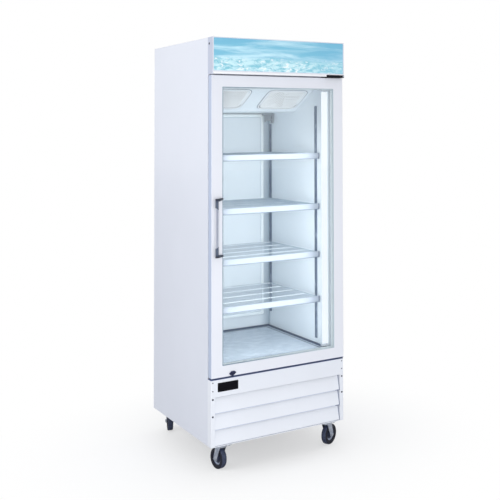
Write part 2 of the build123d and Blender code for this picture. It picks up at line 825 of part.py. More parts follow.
# Door gasket: a hollow magnetic seal that stops just short of the face frame
gasket_outer = side_x - 20.0
gasket_width = 20.0
seal_gap = 0.2
gasket_margin = side_x - gasket_outer
gasket_inner = gasket_outer - gasket_width
gasket_face_y = front_y - seal_gap
gasket_wall = 1.5
with BuildPart() as door_gasket:
    door_ring(door_back_y, gasket_face_y, gasket_inner, gasket_margin)
    door_ring(
        door_back_y + gasket_wall,
        gasket_face_y - gasket_wall,
        gasket_inner + gasket_wall,
        gasket_margin + gasket_wall,
        mode=Mode.SUBTRACT,
    )
door_gasket.part.label = "door_gasket"
export_step(door_gasket.part, "parts/door_gasket.step")

# ================================================================ hinges
hinge_plate_z = 1852.0
hinge_plate_thickness = 4.0
foot_plate_top = 439.5
collar_radius = 7.0
bracket_outer_x = side_x - 2.0
top_bracket_x = (bracket_outer_x - 99, bracket_outer_x)
foot_bracket_x = (bracket_outer_x - 34, bracket_outer_x)
bracket_leg = 3.0
top_lip_y = sign_front_y - sign_ledge
with BuildPart() as hinge_plates:
    # Top bracket: level leg below the sign, with a lip in front of the sign's lower rail
    block(top_bracket_x, (top_lip_y - bracket_leg, front_y - 0.5), (hinge_plate_z, sign_bottom))
    block(top_bracket_x, (top_lip_y - bracket_leg, top_lip_y), (hinge_plate_z, hinge_plate_z + 13))
    fillet(hinge_plates.edges().filter_by(Axis.Y).group_by(Axis.Z)[-1], 3.0)
    # Bottom bracket: level leg below the door, with a leg down the face frame
    block(foot_bracket_x, (front_y - 38, front_y), (front_panel_top, foot_plate_top))
    block(foot_bracket_x, (front_y - bracket_leg, front_y), (front_panel_top - 34, front_panel_top))
    for bottom in (front_panel_top, hinge_plate_z):
        with BuildSketch(Plane.XY.offset(bottom)):
            with Locations((hinge_x, hinge_y)):
                Circle(hinge_pin_radius + running_gap)
        extrude(amount=hinge_plate_thickness, mode=Mode.SUBTRACT)
hinge_plates.part.label = "hinge_plates"
export_step(hinge_plates.part, "parts/hinge_plates.step")

# Hinge pins: collared pins, and the screw that ends the top bracket
with BuildPart() as hinge_pins:
    for shank, collar in (
        ((hinge_plate_z - 22, sign_bottom - 0.5), (hinge_plate_z - 1.2, hinge_plate_z)),
        ((front_panel_top + 0.2, foot_plate_top + 22), (foot_plate_top, foot_plate_top + 0.7)),
    ):
        with BuildSketch(Plane.XY.offset(shank[0])):
            with Locations((hinge_x, hinge_y)):
                Circle(hinge_pin_radius)
        extrude(amount=shank[1] - shank[0])
        with BuildSketch(Plane.XY.offset(collar[0])):
            with Locations((hinge_x, hinge_y)):
                Circle(collar_radius)
        extrude(amount=collar[1] - collar[0])
    with BuildSketch(Plane.XZ.offset(-top_lip_y + bracket_leg)):
        with Locations((bracket_outer_x - large_head, hinge_plate_z + 7)):
            Circle(large_head)
    extrude(amount=2)
hinge_pins.part.label = "hinge_pins"
export_step(hinge_pins.part, "parts/hinge_pins.step")

# Hinge bushes: flanged nylon bushes in the door's rails
bush_depth = 18.0
flange_thickness = 0.6
with BuildPart() as hinge_bushes:
    for face, inward in ((door_top, -1), (door_bottom, 1)):
        with BuildSketch(Plane.XY.offset(face)):
            with Locations((hinge_x, hinge_y)):
                Circle(bush_radius)
        extrude(amount=inward * bush_depth)
        with BuildSketch(Plane.XY.offset(face)):
            with Locations((hinge_x, hinge_y)):
                Circle(bush_radius + 2.5)
        extrude(amount=-inward * flange_thickness)
    with BuildSketch(Plane.XY.offset(door_bottom - 5)):
        with Locations((hinge_x, hinge_y)):
            Circle(hinge_pin_radius + running_gap)
    extrude(amount=door_top - door_bottom + 10, mode=Mode.SUBTRACT)
hinge_bushes.part.label = "hinge_bushes"
export_step(hinge_bushes.part, "parts/hinge_bushes.step")

# ================================================================ handle
handle_low = 1002.0
handle_high = 1274.0
handle_mid = (handle_low + handle_high) / 2
cap_length = 52.0
cap_width = 13.0
cap_depth = 12.0
cap_front_y = door_front_y - handle_reach
cap_back_y = cap_front_y + cap_depth
cap_x = bar_x - 1.5
grip_width = 9.0
grip_depth = 8.0
grip_y = cap_front_y + 1.5 + grip_depth / 2
foot_left = -306.0
foot_right = -294.0

# Handle brackets: a cap on each end of the grip, with an arm back to a foot on the stile
with BuildPart() as handle_brackets:
    with BuildSketch(Plane.XZ.offset(-cap_back_y)):
        with BuildLine():
            Polyline(
                (cap_x - cap_width / 2, handle_high),
                (cap_x + cap_width / 2, handle_high),
                (cap_x + cap_width / 2, handle_high - cap_length),
                (cap_x - cap_width / 2, handle_high - cap_length + 11),
                close=True,
            )
        make_face()
    extrude(amount=cap_depth)
    fillet(handle_brackets.edges().filter_by(Axis.Z), 2.5)
    with BuildSketch(Plane.XY.offset(handle_high - 14)):
        with BuildLine():
            Polyline(
                (cap_x + cap_width / 2 - 3, cap_front_y + 2),
                (cap_x + cap_width / 2 + 4, cap_front_y + 3),
                (foot_right, door_front_y - 7),
                (foot_right, door_front_y),
                (foot_left, door_front_y),
                (foot_left, door_front_y - 5),
                (cap_x + cap_width / 2 - 3, cap_back_y),
                close=True,
            )
        make_face()
    extrude(amount=14)
    with BuildSketch(Plane.XZ.offset(-door_front_y + 50)):
        with BuildLine():
            Polyline(
                (cap_x + cap_width / 2, handle_high - 20),
                (foot_right + 1, handle_high - 20),
                (foot_right + 1, handle_high - 7),
                (cap_x + cap_width / 2, handle_high - 13),
                close=True,
            )
        make_face()
    extrude(amount=-60, mode=Mode.SUBTRACT)
    with BuildSketch(Plane.XY.offset(handle_high - cap_length - 1)):
        with Locations((bar_x, grip_y)):
            RectangleRounded(grip_width + 0.2, grip_depth + 0.2, 2.1)
    extrude(amount=cap_length - 6, mode=Mode.SUBTRACT)
    mirror(about=Plane.XY.offset(handle_mid))
handle_brackets.part.label = "handle_brackets"
export_step(handle_brackets.part, "parts/handle_brackets.step")

# Handle grip: an aluminium bar held in the two brackets
with BuildPart() as handle_grip:
    with BuildSketch(Plane.XY.offset(handle_low + 8)):
        with Locations((bar_x, grip_y)):
            RectangleRounded(grip_width, grip_depth, 2)
    extrude(amount=handle_high - handle_low - 16)
handle_grip.part.label = "handle_grip"
export_step(handle_grip.part, "parts/handle_grip.step")

# ================================================================ lock
barrel_depth = 12.0
with BuildPart() as lock_housing:
    with BuildSketch(Plane.XZ.offset(-door_front_y)) as lozenge:
        with BuildLine():
            Polyline(
                (lock_x - 17.5, lock_z),
                (lock_x - 5, lock_z + 10),
                (lock_x + 9, lock_z + 10),
                (lock_x + 17.5, lock_z + 2),
                (lock_x + 5, lock_z - 10),
                (lock_x - 9, lock_z - 10),
                close=True,
            )
        make_face()
        fillet(lozenge.vertices(), 2.5)
    extrude(amount=6)
    fillet(lock_housing.edges().group_by(Axis.Y)[0], 1.5)
    block((lock_x - 4, lock_x + 4), (door_front_y - 3, door_front_y), (door_bottom + 0.5, lock_z))
    with BuildSketch(Plane.XZ.offset(-door_front_y)) as barrel:
        with Locations((lock_x, lock_z)):
            Circle(barrel_radius)
    extrude(barrel.sketch, amount=-barrel_depth)
    with BuildSketch(Plane.XZ.offset(-door_front_y + 10)) as key_bore:
        with Locations((lock_x, lock_z)):
            Circle(key_radius)
    extrude(key_bore.sketch, amount=-40, mode=Mode.SUBTRACT)
lock_housing.part.label = "lock_housing"
export_step(lock_housing.part, "parts/lock_housing.step")

# Lock cylinder: turns a quarter with the key
key_slot = 1.8
with BuildPart() as lock_cylinder:
    with BuildSketch(Plane.XZ.offset(-door_front_y + 6.5)):
        with Locations((lock_x, lock_z)):
            Circle(key_radius - running_gap)
    extrude(amount=-6.5 - barrel_depth - 1)
    block(
        (lock_x - key_slot / 2, lock_x + key_slot / 2),
        (door_front_y - 7, door_front_y),
        (lock_z - 4.5, lock_z + 4.5),
        mode=Mode.SUBTRACT,
    )
lock_cylinder.part.label = "lock_cylinder"
export_step(lock_cylinder.part, "parts/lock_cylinder.step")

# Lock bolt: drops through the door's lower rail into the front panel
with BuildPart() as lock_bolt:
    block(
        (bolt_x - bolt_width / 2, bolt_x + bolt_width / 2),
        (bolt_front_y, bolt_back_y),
        (door_bottom + 0.5, door_bottom + 24),
    )
    chamfer(lock_bolt.edges().group_by(Axis.Z)[0].filter_by(Axis.X), 1.0)
lock_bolt.part.label = "lock_bolt"
export_step(lock_bolt.part, "parts/lock_bolt.step")

# ================================================================ machine compartment
base_thickness = 2.0
base_top = caster_height + base_thickness
plate_x = 70.0
plate_y = 84.0
plate_thickness = 5.0
bolt_spacing_x = 50.0
bolt_spacing_y = 64.0
bolt_radius = 4.0
bolt_hole_radius = 4.3
caster_seats = [
    (side * caster_x, y) for y in (caster_front_y, caster_back_y) for side in (-1, 1)
]

# Base pan: carries the compressor, the coil and the casters
with BuildPart() as base_pan:
    block(
        (-side_x + 1.5, side_x - 1.5),
        (panel_front_y + 1.5, back_y - 1.5),
        (caster_height, base_top),
    )
    for x, y in caster_seats:
        with BuildSketch(Plane.XY.offset(caster_height)):
            with Locations((x, y)):
                with GridLocations(bolt_spacing_x, bolt_spacing_y, 2, 2):
                    Circle(bolt_hole_radius)
        extrude(amount=base_thickness, mode=Mode.SUBTRACT)
base_pan.part.label = "base_pan"
export_step(base_pan.part, "parts/base_pan.step")

# Compressor: a sealed steel shell on a foot plate, with its terminal cover
compressor_x = 150.0
compressor_y = back_y - 170.0
shell_radius = 82.0
shell_height = 180.0
foot_height = 12.0
foot_plate = 6.0
foot_x = 110.0
foot_y = 70.0
with BuildPart() as compressor:
    with BuildSketch(Plane.XY.offset(base_top + foot_height + 4)):
        with Locations((compressor_x, compressor_y)):
            Circle(shell_radius)
    extrude(amount=shell_height)
    fillet(compressor.edges().group_by(Axis.Z)[-1], 48.0)
    fillet(compressor.edges().group_by(Axis.Z)[0], 24.0)
    with Locations((compressor_x, compressor_y, base_top + foot_height + 92)):
        Cylinder(shell_radius + 3, 6)
    block(
        (compressor_x - foot_x, compressor_x + foot_x),
        (compressor_y - foot_y, compressor_y + foot_y),
        (base_top + foot_height, base_top + foot_height + foot_plate),
    )
    # Terminal cover on the shell's side
    block(
        (compressor_x - shell_radius - 34, compressor_x - 60),
        (compressor_y - 26, compressor_y + 26),
        (base_top + 60, base_top + 120),
    )
    with Locations((compressor_x, compressor_y, base_top + foot_height / 2)):
        with GridLocations(2 * foot_x - 24, 2 * foot_y - 24, 2, 2):
            Cylinder(12, foot_height)
compressor.part.label = "compressor"
export_step(compressor.part, "parts/compressor.step")

# Condenser coil: fins on tubes between two end plates, behind the louvres
condenser_mid_y = (condenser_front_y + condenser_back_y) / 2
condenser_depth = condenser_back_y - condenser_front_y
condenser_top = condenser_z + 122.0
end_plate = 2.0
with BuildPart() as condenser_coil:
    with BuildSketch(Plane.YZ.offset(condenser_x - condenser_half_width)):
        with Locations((condenser_mid_y, condenser_z)):
            with GridLocations(25, 44, 2, 5):
                Circle(tube_radius)
    extrude(amount=2 * condenser_half_width)
    with Locations((condenser_x, condenser_mid_y, condenser_z)):
        with GridLocations(12, 1, 29, 1):
            Box(fin_thickness, condenser_depth, 240)
    for side in (-1, 1):
        plate_mid_x = condenser_x + side * (condenser_half_width - end_plate / 2)
        block(
            (plate_mid_x - end_plate / 2, plate_mid_x + end_plate / 2),
            (condenser_front_y, condenser_back_y),
            (base_top, condenser_top),
        )
condenser_coil.part.label = "condenser_coil"
export_step(condenser_coil.part, "parts/condenser_coil.step")

# Condenser shroud: a shallow box with a round opening for the fan
shroud_top = condenser_top + 3.0
with BuildPart() as condenser_shroud:
    block(
        (condenser_x - condenser_half_width, condenser_x + condenser_half_width),
        (shroud_front_y, shroud_back_y),
        (base_top, shroud_top),
    )
    block(
        (condenser_x - condenser_half_width + sheet, condenser_x + condenser_half_width - sheet),
        (shroud_front_y + sheet, shroud_back_y + 1),
        (base_top + sheet, shroud_top - sheet),
        mode=Mode.SUBTRACT,
    )
    with BuildSketch(Plane.XZ.offset(-shroud_front_y - 5)):
        with Locations((condenser_x, condenser_z)):
            Circle(condenser_fan_radius + 8)
    extrude(amount=10, mode=Mode.SUBTRACT)
condenser_shroud.part.label = "condenser_shroud"
export_step(condenser_shroud.part, "parts/condenser_shroud.step")

# Rear grille: closes the machine compartment and lets the warm air out
with BuildPart() as rear_grille:
    with BuildSketch(Plane.XZ.offset(-back_y)):
        with Locations((0, (base_top + front_panel_top) / 2)):
            Rectangle(2 * (side_x - sheet) - 0.6, front_panel_top - base_top - 1)
            with GridLocations(200, 22, 3, 10):
                SlotOverall(160, 9, mode=Mode.SUBTRACT)
    extrude(amount=sheet)
rear_grille.part.label = "rear_grille"
export_step(rear_grille.part, "parts/rear_grille.step")

# Power cord: leaves the rear grille, hangs in a loop and ends in its plug
cord_x = -240.0
cord_y = back_y + 13.0
cord_radius = 4.0
cord_outlet_z = 420.0
with BuildPart() as power_cord:
    with BuildLine() as cord_path:
        Spline(
            (cord_x - 48, back_y + 0.1, cord_outlet_z),
            (cord_x - 47, cord_y, 385),
            (cord_x - 36, cord_y, 290),
            (cord_x, cord_y, 250),
            (cord_x + 36, cord_y, 290),
            (cord_x + 44, cord_y, 372),
            tangents=((0, 1, 0), (0, 0, 1)),
        )
    with BuildSketch(Plane(origin=cord_path.line @ 0, z_dir=cord_path.line % 0)):
        Circle(cord_radius)
    sweep()
    block((cord_x + 26, cord_x + 62), (back_y + 1, back_y + plug_reach), (370, 412))
    fillet(power_cord.edges().filter_by(Axis.Z), 4.0)
power_cord.part.label = "power_cord"
export_step(power_cord.part, "parts/power_cord.step")

# ================================================================ casters
boss_radius = 24.0
kingpin_radius = 6.0
crown_low = 107.0
crown_high = 116.5
with BuildPart() as caster_plates:
    for x, y in caster_seats:
        with BuildSketch(Plane.XY.offset(caster_height - plate_thickness)):
            with Locations((x, y)):
                RectangleRounded(plate_x, plate_y, 6)
                with GridLocations(bolt_spacing_x, bolt_spacing_y, 2, 2):
                    Circle(bolt_hole_radius, mode=Mode.SUBTRACT)
        extrude(amount=plate_thickness)
        for low, high, radius in (
            (crown_high + 0.3, caster_height - plate_thickness, boss_radius),
            (crown_low - 3.5, crown_high + 1, kingpin_radius),
            (crown_low - 3.5, crown_low - 0.3, kingpin_radius + 3),
        ):
            with BuildSketch(Plane.XY.offset(low)):
                with Locations((x, y)):
                    Circle(radius)
            extrude(amount=high - low)
        with BuildSketch(Plane.XY.offset(caster_height - plate_thickness - 4)):
            with Locations((x, y)):
                with GridLocations(bolt_spacing_x, bolt_spacing_y, 2, 2):
                    RegularPolygon(6.5, 6)
        extrude(amount=4)
        with BuildSketch(Plane.XY.offset(caster_height - plate_thickness - 0.1)):
            with Locations((x, y)):
                with GridLocations(bolt_spacing_x, bolt_spacing_y, 2, 2):
                    Circle(bolt_radius)
        extrude(amount=plate_thickness + base_thickness + 6)
caster_plates.part.label = "caster_plates"
export_step(caster_plates.part, "parts/caster_plates.step")

# Caster fork: its swivel axis is x = y = 0, and its axle stands behind at y = -caster_trail
leg_inner = wheel_width / 2 + 2
leg_thickness = 2.5
leg_outer = leg_inner + leg_thickness
with BuildPart() as fork:
    with BuildSketch(Plane.XY.offset(crown_low)):
        Circle(boss_radius)
        with Locations((0, -2)):
            Rectangle(2 * leg_outer, 38)
        Circle(kingpin_radius + running_gap, mode=Mode.SUBTRACT)
    extrude(amount=crown_high - crown_low)
    for side in (-1, 1):
        with BuildSketch(Plane.YZ.offset(side * leg_inner)):
            with BuildLine():
                Polyline(
                    (17, crown_high),
                    (-21, crown_high),
                    (-caster_trail - 11, wheel_radius + 6),
                    (-caster_trail - 4, wheel_radius - 10),
                    (-caster_trail + 8, wheel_radius - 8),
                    close=True,
                )
            make_face()
            with Locations((-caster_trail, wheel_radius)):
                Circle(12)
                Circle(axle_radius + running_gap, mode=Mode.SUBTRACT)
        extrude(amount=side * leg_thickness)
with BuildPart() as axle:
    with BuildSketch(Plane.YZ.offset(-leg_outer - 4)):
        with Locations((-caster_trail, wheel_radius)):
            Circle(axle_radius)
    extrude(amount=2 * (leg_outer + 4))
    for side in (-1, 1):
        with BuildSketch(Plane.YZ.offset(side * (leg_outer + 0.1))):
            with Locations((-caster_trail, wheel_radius)):
                RegularPolygon(8.5, 6)
        extrude(amount=side * 5)

# Caster wheel: a rim that turns on the axle, and a rubber tyre round it
rim_radius = 37.0
hub_half_width = wheel_width / 2 + 1.5
with BuildPart() as rim:
    with BuildSketch(Plane.XZ.offset(caster_trail)):
        with BuildLine():
            Polyline(
                (-hub_half_width, wheel_radius + axle_radius + running_gap),
                (hub_half_width, wheel_radius + axle_radius + running_gap),
                (hub_half_width, wheel_radius + 12),
                (4, wheel_radius + 15),
                (4, wheel_radius + rim_radius - 8),
                (11, wheel_radius + rim_radius - 4),
                (11, wheel_radius + rim_radius),
                (-11, wheel_radius + rim_radius),
                (-11, wheel_radius + rim_radius - 4),
                (-4, wheel_radius + rim_radius - 8),
                (-4, wheel_radius + 15),
                (-hub_half_width, wheel_radius + 12),
                close=True,
            )
        make_face()
    revolve(axis=Axis((0, -caster_trail, wheel_radius), (1, 0, 0)))
with BuildPart() as tyre:
    with BuildSketch(Plane.XZ.offset(caster_trail)) as tyre_section:
        with Locations((0, wheel_radius + (rim_radius + wheel_radius) / 2)):
            Rectangle(wheel_width, wheel_radius - rim_radius)
        fillet(tyre_section.vertices().group_by(Axis.Y)[-1], 5.0)
    revolve(axis=Axis((0, -caster_trail, wheel_radius), (1, 0, 0)))

# Each caster stands turned about its swivel axis, as it was left after rolling
caster_angles = {"front_left": 192.0, "front_right": 117.2, "back_left": 164.5, "back_right": 200.0}
for (corner_name, angle), (x, y) in zip(caster_angles.items(), caster_seats):
    stance = Location((x, y, 0), (0, 0, angle))
    with BuildPart() as caster_fork:
        add(fork.part.moved(stance))
        add(axle.part.moved(stance))
    caster_fork.part.label = f"fork_{corner_name}"
    export_step(caster_fork.part, f"parts/fork_{corner_name}.step")
    with BuildPart() as caster_rim:
        add(rim.part.moved(stance))
    caster_rim.part.label = f"rim_{corner_name}"
    export_step(caster_rim.part, f"parts/rim_{corner_name}.step")
    with BuildPart() as caster_tyre:
        add(tyre.part.moved(stance))
    caster_tyre.part.label = f"tyre_{corner_name}"
    export_step(caster_tyre.part, f"parts/tyre_{corner_name}.step")
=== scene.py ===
import json
import math
from functools import partialmethod

import bmesh
import bpy
from mathutils import Matrix, Vector


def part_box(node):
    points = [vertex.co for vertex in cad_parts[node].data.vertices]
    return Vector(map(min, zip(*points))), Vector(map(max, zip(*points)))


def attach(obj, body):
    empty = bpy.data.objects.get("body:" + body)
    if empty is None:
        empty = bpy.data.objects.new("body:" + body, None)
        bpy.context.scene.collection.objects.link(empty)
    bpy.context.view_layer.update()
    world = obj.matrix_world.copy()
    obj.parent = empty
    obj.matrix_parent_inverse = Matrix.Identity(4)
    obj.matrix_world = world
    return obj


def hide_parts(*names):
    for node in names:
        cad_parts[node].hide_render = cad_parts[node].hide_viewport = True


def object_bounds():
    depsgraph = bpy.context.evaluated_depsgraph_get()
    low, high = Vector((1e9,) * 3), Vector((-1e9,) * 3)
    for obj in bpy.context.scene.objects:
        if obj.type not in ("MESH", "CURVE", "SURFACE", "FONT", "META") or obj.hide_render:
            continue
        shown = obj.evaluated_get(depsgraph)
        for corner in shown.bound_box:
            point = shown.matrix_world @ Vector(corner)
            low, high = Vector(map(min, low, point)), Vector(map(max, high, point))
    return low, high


# Glass door merchandiser: looks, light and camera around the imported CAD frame.
# Metres, +Z up. The door faces -Y and its hinge is on the +X side.

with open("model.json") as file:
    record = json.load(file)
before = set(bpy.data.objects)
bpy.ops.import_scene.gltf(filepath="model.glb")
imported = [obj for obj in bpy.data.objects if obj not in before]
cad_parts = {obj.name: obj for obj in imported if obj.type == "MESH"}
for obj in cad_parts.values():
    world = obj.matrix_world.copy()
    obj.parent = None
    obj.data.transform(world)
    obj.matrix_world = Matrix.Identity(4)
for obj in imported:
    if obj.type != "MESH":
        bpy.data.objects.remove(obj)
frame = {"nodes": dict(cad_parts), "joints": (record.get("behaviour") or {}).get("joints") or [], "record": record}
cad_low, cad_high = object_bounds()

MM = 0.001
CORNERS = ("front_left", "front_right", "back_left", "back_right")
X, Y, Z = Vector((1, 0, 0)), Vector((0, 1, 0)), Vector((0, 0, 1))
# The directions across, up and out of a face that looks to the front
FRONT = (X, Z, -Y)

# ==== camera and light
CAMERA_PLACE = Vector((-2.017, -4.534, 1.598))
CAMERA_AZIMUTH = math.radians(35.8)
CAMERA_PITCH = math.radians(2.0)
CAMERA_ROLL = math.radians(-0.47)
CAMERA_LENS = 66.94
CAMERA_SHIFT = (-0.3826, -0.3108)
BACKDROP = (1.0, 1.0, 1.0)
SKY_COLOUR = (0.97, 0.98, 1.0, 1.0)
SKY_LIGHT = 0.68


# ==== materials
class Finish:
    """A Principled material, with short calls for the nodes that the finishes share."""

    def __init__(self, name, rough, metal=0.0):
        self.material = bpy.data.materials.new(name)
        self.material.use_nodes = True
        self.tree = self.material.node_tree
        self.shader = self.tree.nodes["Principled BSDF"]
        self.output = self.tree.nodes["Material Output"]
        self.place = self.tree.nodes.new("ShaderNodeTexCoord").outputs["Object"]
        self.set(rough=rough, metal=metal)

    def link(self, value, socket):
        """Feed a socket with another socket, a colour or a number."""
        if isinstance(value, bpy.types.NodeSocket):
            self.tree.links.new(value, socket)
        elif isinstance(value, (tuple, list)) and len(socket.default_value) == 4:
            socket.default_value = (*value[:3], 1.0)
        else:
            socket.default_value = value

    def set(self, base=None, rough=None, metal=None, **inputs):
        """Set the shader's inputs. Those without a short name come by their own."""
        named = {"Base Color": base, "Roughness": rough, "Metallic": metal, **inputs}
        for socket, value in named.items():
            if value is not None:
                self.link(value, self.shader.inputs[socket])

    def node(self, kind, inputs=None, **settings):
        """Add a node, set its properties, and feed its inputs by index or name."""
        made = self.tree.nodes.new("ShaderNode" + kind)
        for key, value in settings.items():
            setattr(made, key, value)
        for key, value in (inputs or {}).items():
            self.link(value, made.inputs[key])
        return made

    # Values
    def maths(self, operation, first, second=0.0):
        return self.node("Math", {0: first, 1: second}, operation=operation).outputs[0]

    minus = partialmethod(maths, "SUBTRACT")
    times = partialmethod(maths, "MULTIPLY")
    least = partialmethod(maths, "MINIMUM")
    most = partialmethod(maths, "MAXIMUM")
    size = partialmethod(maths, "ABSOLUTE")

    def vectors(self, operation, first, second=(0, 0, 0), output=0):
        return self.node("VectorMath", {0: first, 1: second}, operation=operation).outputs[output]

    def span(self, value, low, high, out_low=0.0, out_high=1.0):
        """Map low..high to out_low..out_high, held at both ends."""
        limits = {1: low, 2: high, 3: out_low, 4: out_high}
        return self.node("MapRange", {0: value, **limits}, interpolation_type="SMOOTHSTEP").outputs[0]

    def below(self, value, full, none, most=1.0):
        """A mask that is full up to one value and gone from the next."""
        return self.span(value, full, none, most, 0.0)

    # Places
    def axis(self, letter):
        """One coordinate of the object's place, in metres."""
        return self.node("SeparateXYZ", {0: self.place}).outputs[letter]

    def away(self, letter, middle=0.0):
        """How far a point stands from a middle plane, in metres."""
        return self.size(self.minus(self.axis(letter), middle))

    def facing(self, letter):
        """One part of the face's own normal, from -1 to 1."""
        normal = self.node("TexCoord").outputs["Normal"]
        return self.node("SeparateXYZ", {0: normal}).outputs[letter]

    # Patterns
    def noise(self, scale, detail=3.0, rough=0.5, stretch=None, turn=(0, 0, 0), distortion=0.0):
        """Noise over the object's own coordinates, which may be stretched and turned first."""
        place = self.place
        if stretch:
            place = self.node(
                "Mapping", {"Vector": place, "Scale": stretch, "Rotation": turn}
            ).outputs[0]
        inputs = {"Vector": place, "Scale": scale, "Detail": detail, "Roughness": rough}
        return self.node("TexNoise", {**inputs, "Distortion": distortion}).outputs[0]

    def cells(self, scale, feature="F1", output="Distance"):
        made = self.node("TexVoronoi", {"Vector": self.place, "Scale": scale}, feature=feature)
        return made.outputs[output]

    def bands(self, scale):
        """Even bands along X."""
        settings = {"wave_type": "BANDS", "bands_direction": "X"}
        return self.node("TexWave", {"Vector": self.place, "Scale": scale}, **settings).outputs[1]

    def mix(self, share, first, second):
        made = self.node("Mix", {0: share}, data_type="RGBA", blend_type="MIX")
        self.link(first, made.inputs[6])
        self.link(second, made.inputs[7])
        return made.outputs[2]

    def mottle(self, first, second, scale, detail=3.0, low=0.3, high=0.7):
        """Clouds of two colours: the second shows where noise rises from low to high."""
        return self.mix(self.span(self.noise(scale, detail), low, high), first, second)

    def lay(self, colour, share):
        """Lay a colour over the base that is there, by a share or a mask."""
        base = self.shader.inputs["Base Color"]
        earlier = base.links[0].from_socket if base.links else tuple(base.default_value)
        self.link(self.mix(share, earlier, colour), base)

    # Relief
    def bump(self, height, depth):
        """Add a relief of this depth in metres on top of any relief that is there."""
        made = self.node("Bump", {"Height": height, "Distance": depth})
        earlier = self.shader.inputs["Normal"].links
        if earlier:
            self.link(earlier[0].from_socket, made.inputs["Normal"])
        self.link(made.outputs[0], self.shader.inputs["Normal"])

    def grain(self, scale, depth, detail=3.0):
        """A fine noise relief."""
        self.bump(self.noise(scale, detail), depth)


def painted_sheet(name, colour, rough=0.32, peel=0.00004, peel_scale=260.0):
    """Painted metal: faint clouding, orange peel, and a little scuffing towards the floor."""
    paint = Finish(name, rough)
    paler = [min(c * 1.01, 1.0) for c in colour]
    low_down = paint.below(paint.axis("Z"), 0.12, 0.4)
    streaks = paint.noise(60.0, stretch=(1.0, 1.0, 0.12))
    scuffs = paint.times(paint.span(streaks, 0.62, 0.74), low_down)
    paint.set(
        base=paint.mottle([c * 0.985 for c in colour], paler, 2.2, 4.0),
        rough=paint.span(paint.noise(7.0), 0.3, 0.7, rough - 0.02, rough + 0.03),
    )
    paint.lay([c * 0.72 for c in colour], paint.times(scuffs, 0.05))
    paint.grain(peel_scale, peel, 1.0)
    return paint


def embossed_sheet(name, colour):
    """Liner sheet: a pale coat over a shallow pebble pattern."""
    paint = painted_sheet(name, colour, 0.36)
    paint.bump(paint.span(paint.cells(170.0, "SMOOTH_F1"), 0.1, 0.6), 0.00006)
    return paint


def white_enamel():
    paint = painted_sheet("white_enamel", (0.79, 0.82, 0.90))
    paint.set(**{"Coat Weight": 0.25, "Coat Roughness": 0.12})
    return paint


def sign_coat():
    """The sign housing: white in front, painted shade on its end covers, a painted highlight on its lower ledge.
    """
    paint = painted_sheet("sign_coat", (0.80, 0.82, 0.90))
    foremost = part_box("sign_housing")[0].y
    is_end = paint.span(paint.size(paint.facing("X")), 0.5, 0.9)
    is_foremost = paint.below(paint.axis("Y"), foremost + 1.5 * MM, foremost + 2.0 * MM)
    # Painted shade on the faces that look sideways, the end covers
    paint.lay((0.54, 0.58, 0.70), is_end)
    # Painted highlight on the foremost strip, the lower ledge
    paint.lay((0.97, 0.98, 1.0), paint.times(is_foremost, paint.minus(1.0, is_end)))
    return paint


def panel_coat():
    """The lower front: white enamel with painted shade on its top flange and the top of its face, in the gap below
    the door.
    """
    paint = painted_sheet("panel_coat", (0.84, 0.87, 0.93))
    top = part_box("front_panel")[1].z
    is_flange = paint.most(
        paint.span(paint.facing("Z"), 0.3, 0.7),
        paint.span(paint.axis("Z"), top - 4.5 * MM, top - 3.0 * MM),
    )
    # Painted shade in the gap below the door
    paint.lay((0.08, 0.11, 0.24), is_flange)
    return paint


def white_powder_coat():
    """The door's coat: white in front, painted shade on its outer side faces, and a painted shadow along its foot.
    """
    paint = painted_sheet("white_powder_coat", (0.84, 0.86, 0.92), 0.42, 0.00006, 700.0)
    low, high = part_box("door_frame")
    is_edge = paint.times(
        paint.span(paint.away("X"), high.x - 4 * MM, high.x - 2 * MM),
        paint.span(paint.size(paint.facing("X")), 0.6, 0.95),
    )
    is_foot = paint.most(
        paint.span(paint.times(paint.facing("Z"), -1.0), 0.6, 0.95),
        paint.below(paint.axis("Z"), low.z + 1.5 * MM, low.z + 2.5 * MM),
    )
    # Painted shade on the outer side faces
    paint.lay((0.50, 0.57, 0.72), is_edge)
    # Painted shadow along the foot, in the gap below the door
    paint.lay((0.12, 0.16, 0.30), is_foot)
    return paint


def liner_coat():
    """The liner, with painted shade in the back corners."""
    paint = embossed_sheet("liner_coat", (0.775, 0.83, 0.88))
    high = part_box("liner")[1]
    corner = paint.times(
        paint.span(paint.away("X"), high.x - 75 * MM, high.x - 2 * MM),
        paint.span(paint.axis("Y"), high.y - 30 * MM, high.y - 4 * MM),
    )
    # Painted shade in the back corners
    paint.lay((0.40, 0.49, 0.57), corner)
    return paint


def duct_coat():
    """The air duct's cover: a painted highlight along its turned edges, painted shade in a groove inside them."""
    paint = embossed_sheet("duct_coat", (0.76, 0.815, 0.86))
    low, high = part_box("duct_panel")
    to_side = paint.minus(high.x, paint.away("X"))
    to_end = paint.minus((high.z - low.z) / 2, paint.away("Z", (low.z + high.z) / 2))
    to_edge = paint.least(to_side, to_end)
    rubbed = paint.below(to_edge, 12 * MM, 16 * MM)
    groove = paint.times(
        paint.span(to_edge, 14 * MM, 17 * MM),
        paint.below(to_edge, 19 * MM, 24 * MM, 0.5),
    )
    # Painted highlight along the turned edges; the rubbed mask marks where it goes
    paint.lay((0.90, 0.95, 0.97), rubbed)
    # Painted shade in the groove
    paint.lay((0.50, 0.59, 0.66), groove)
    return paint


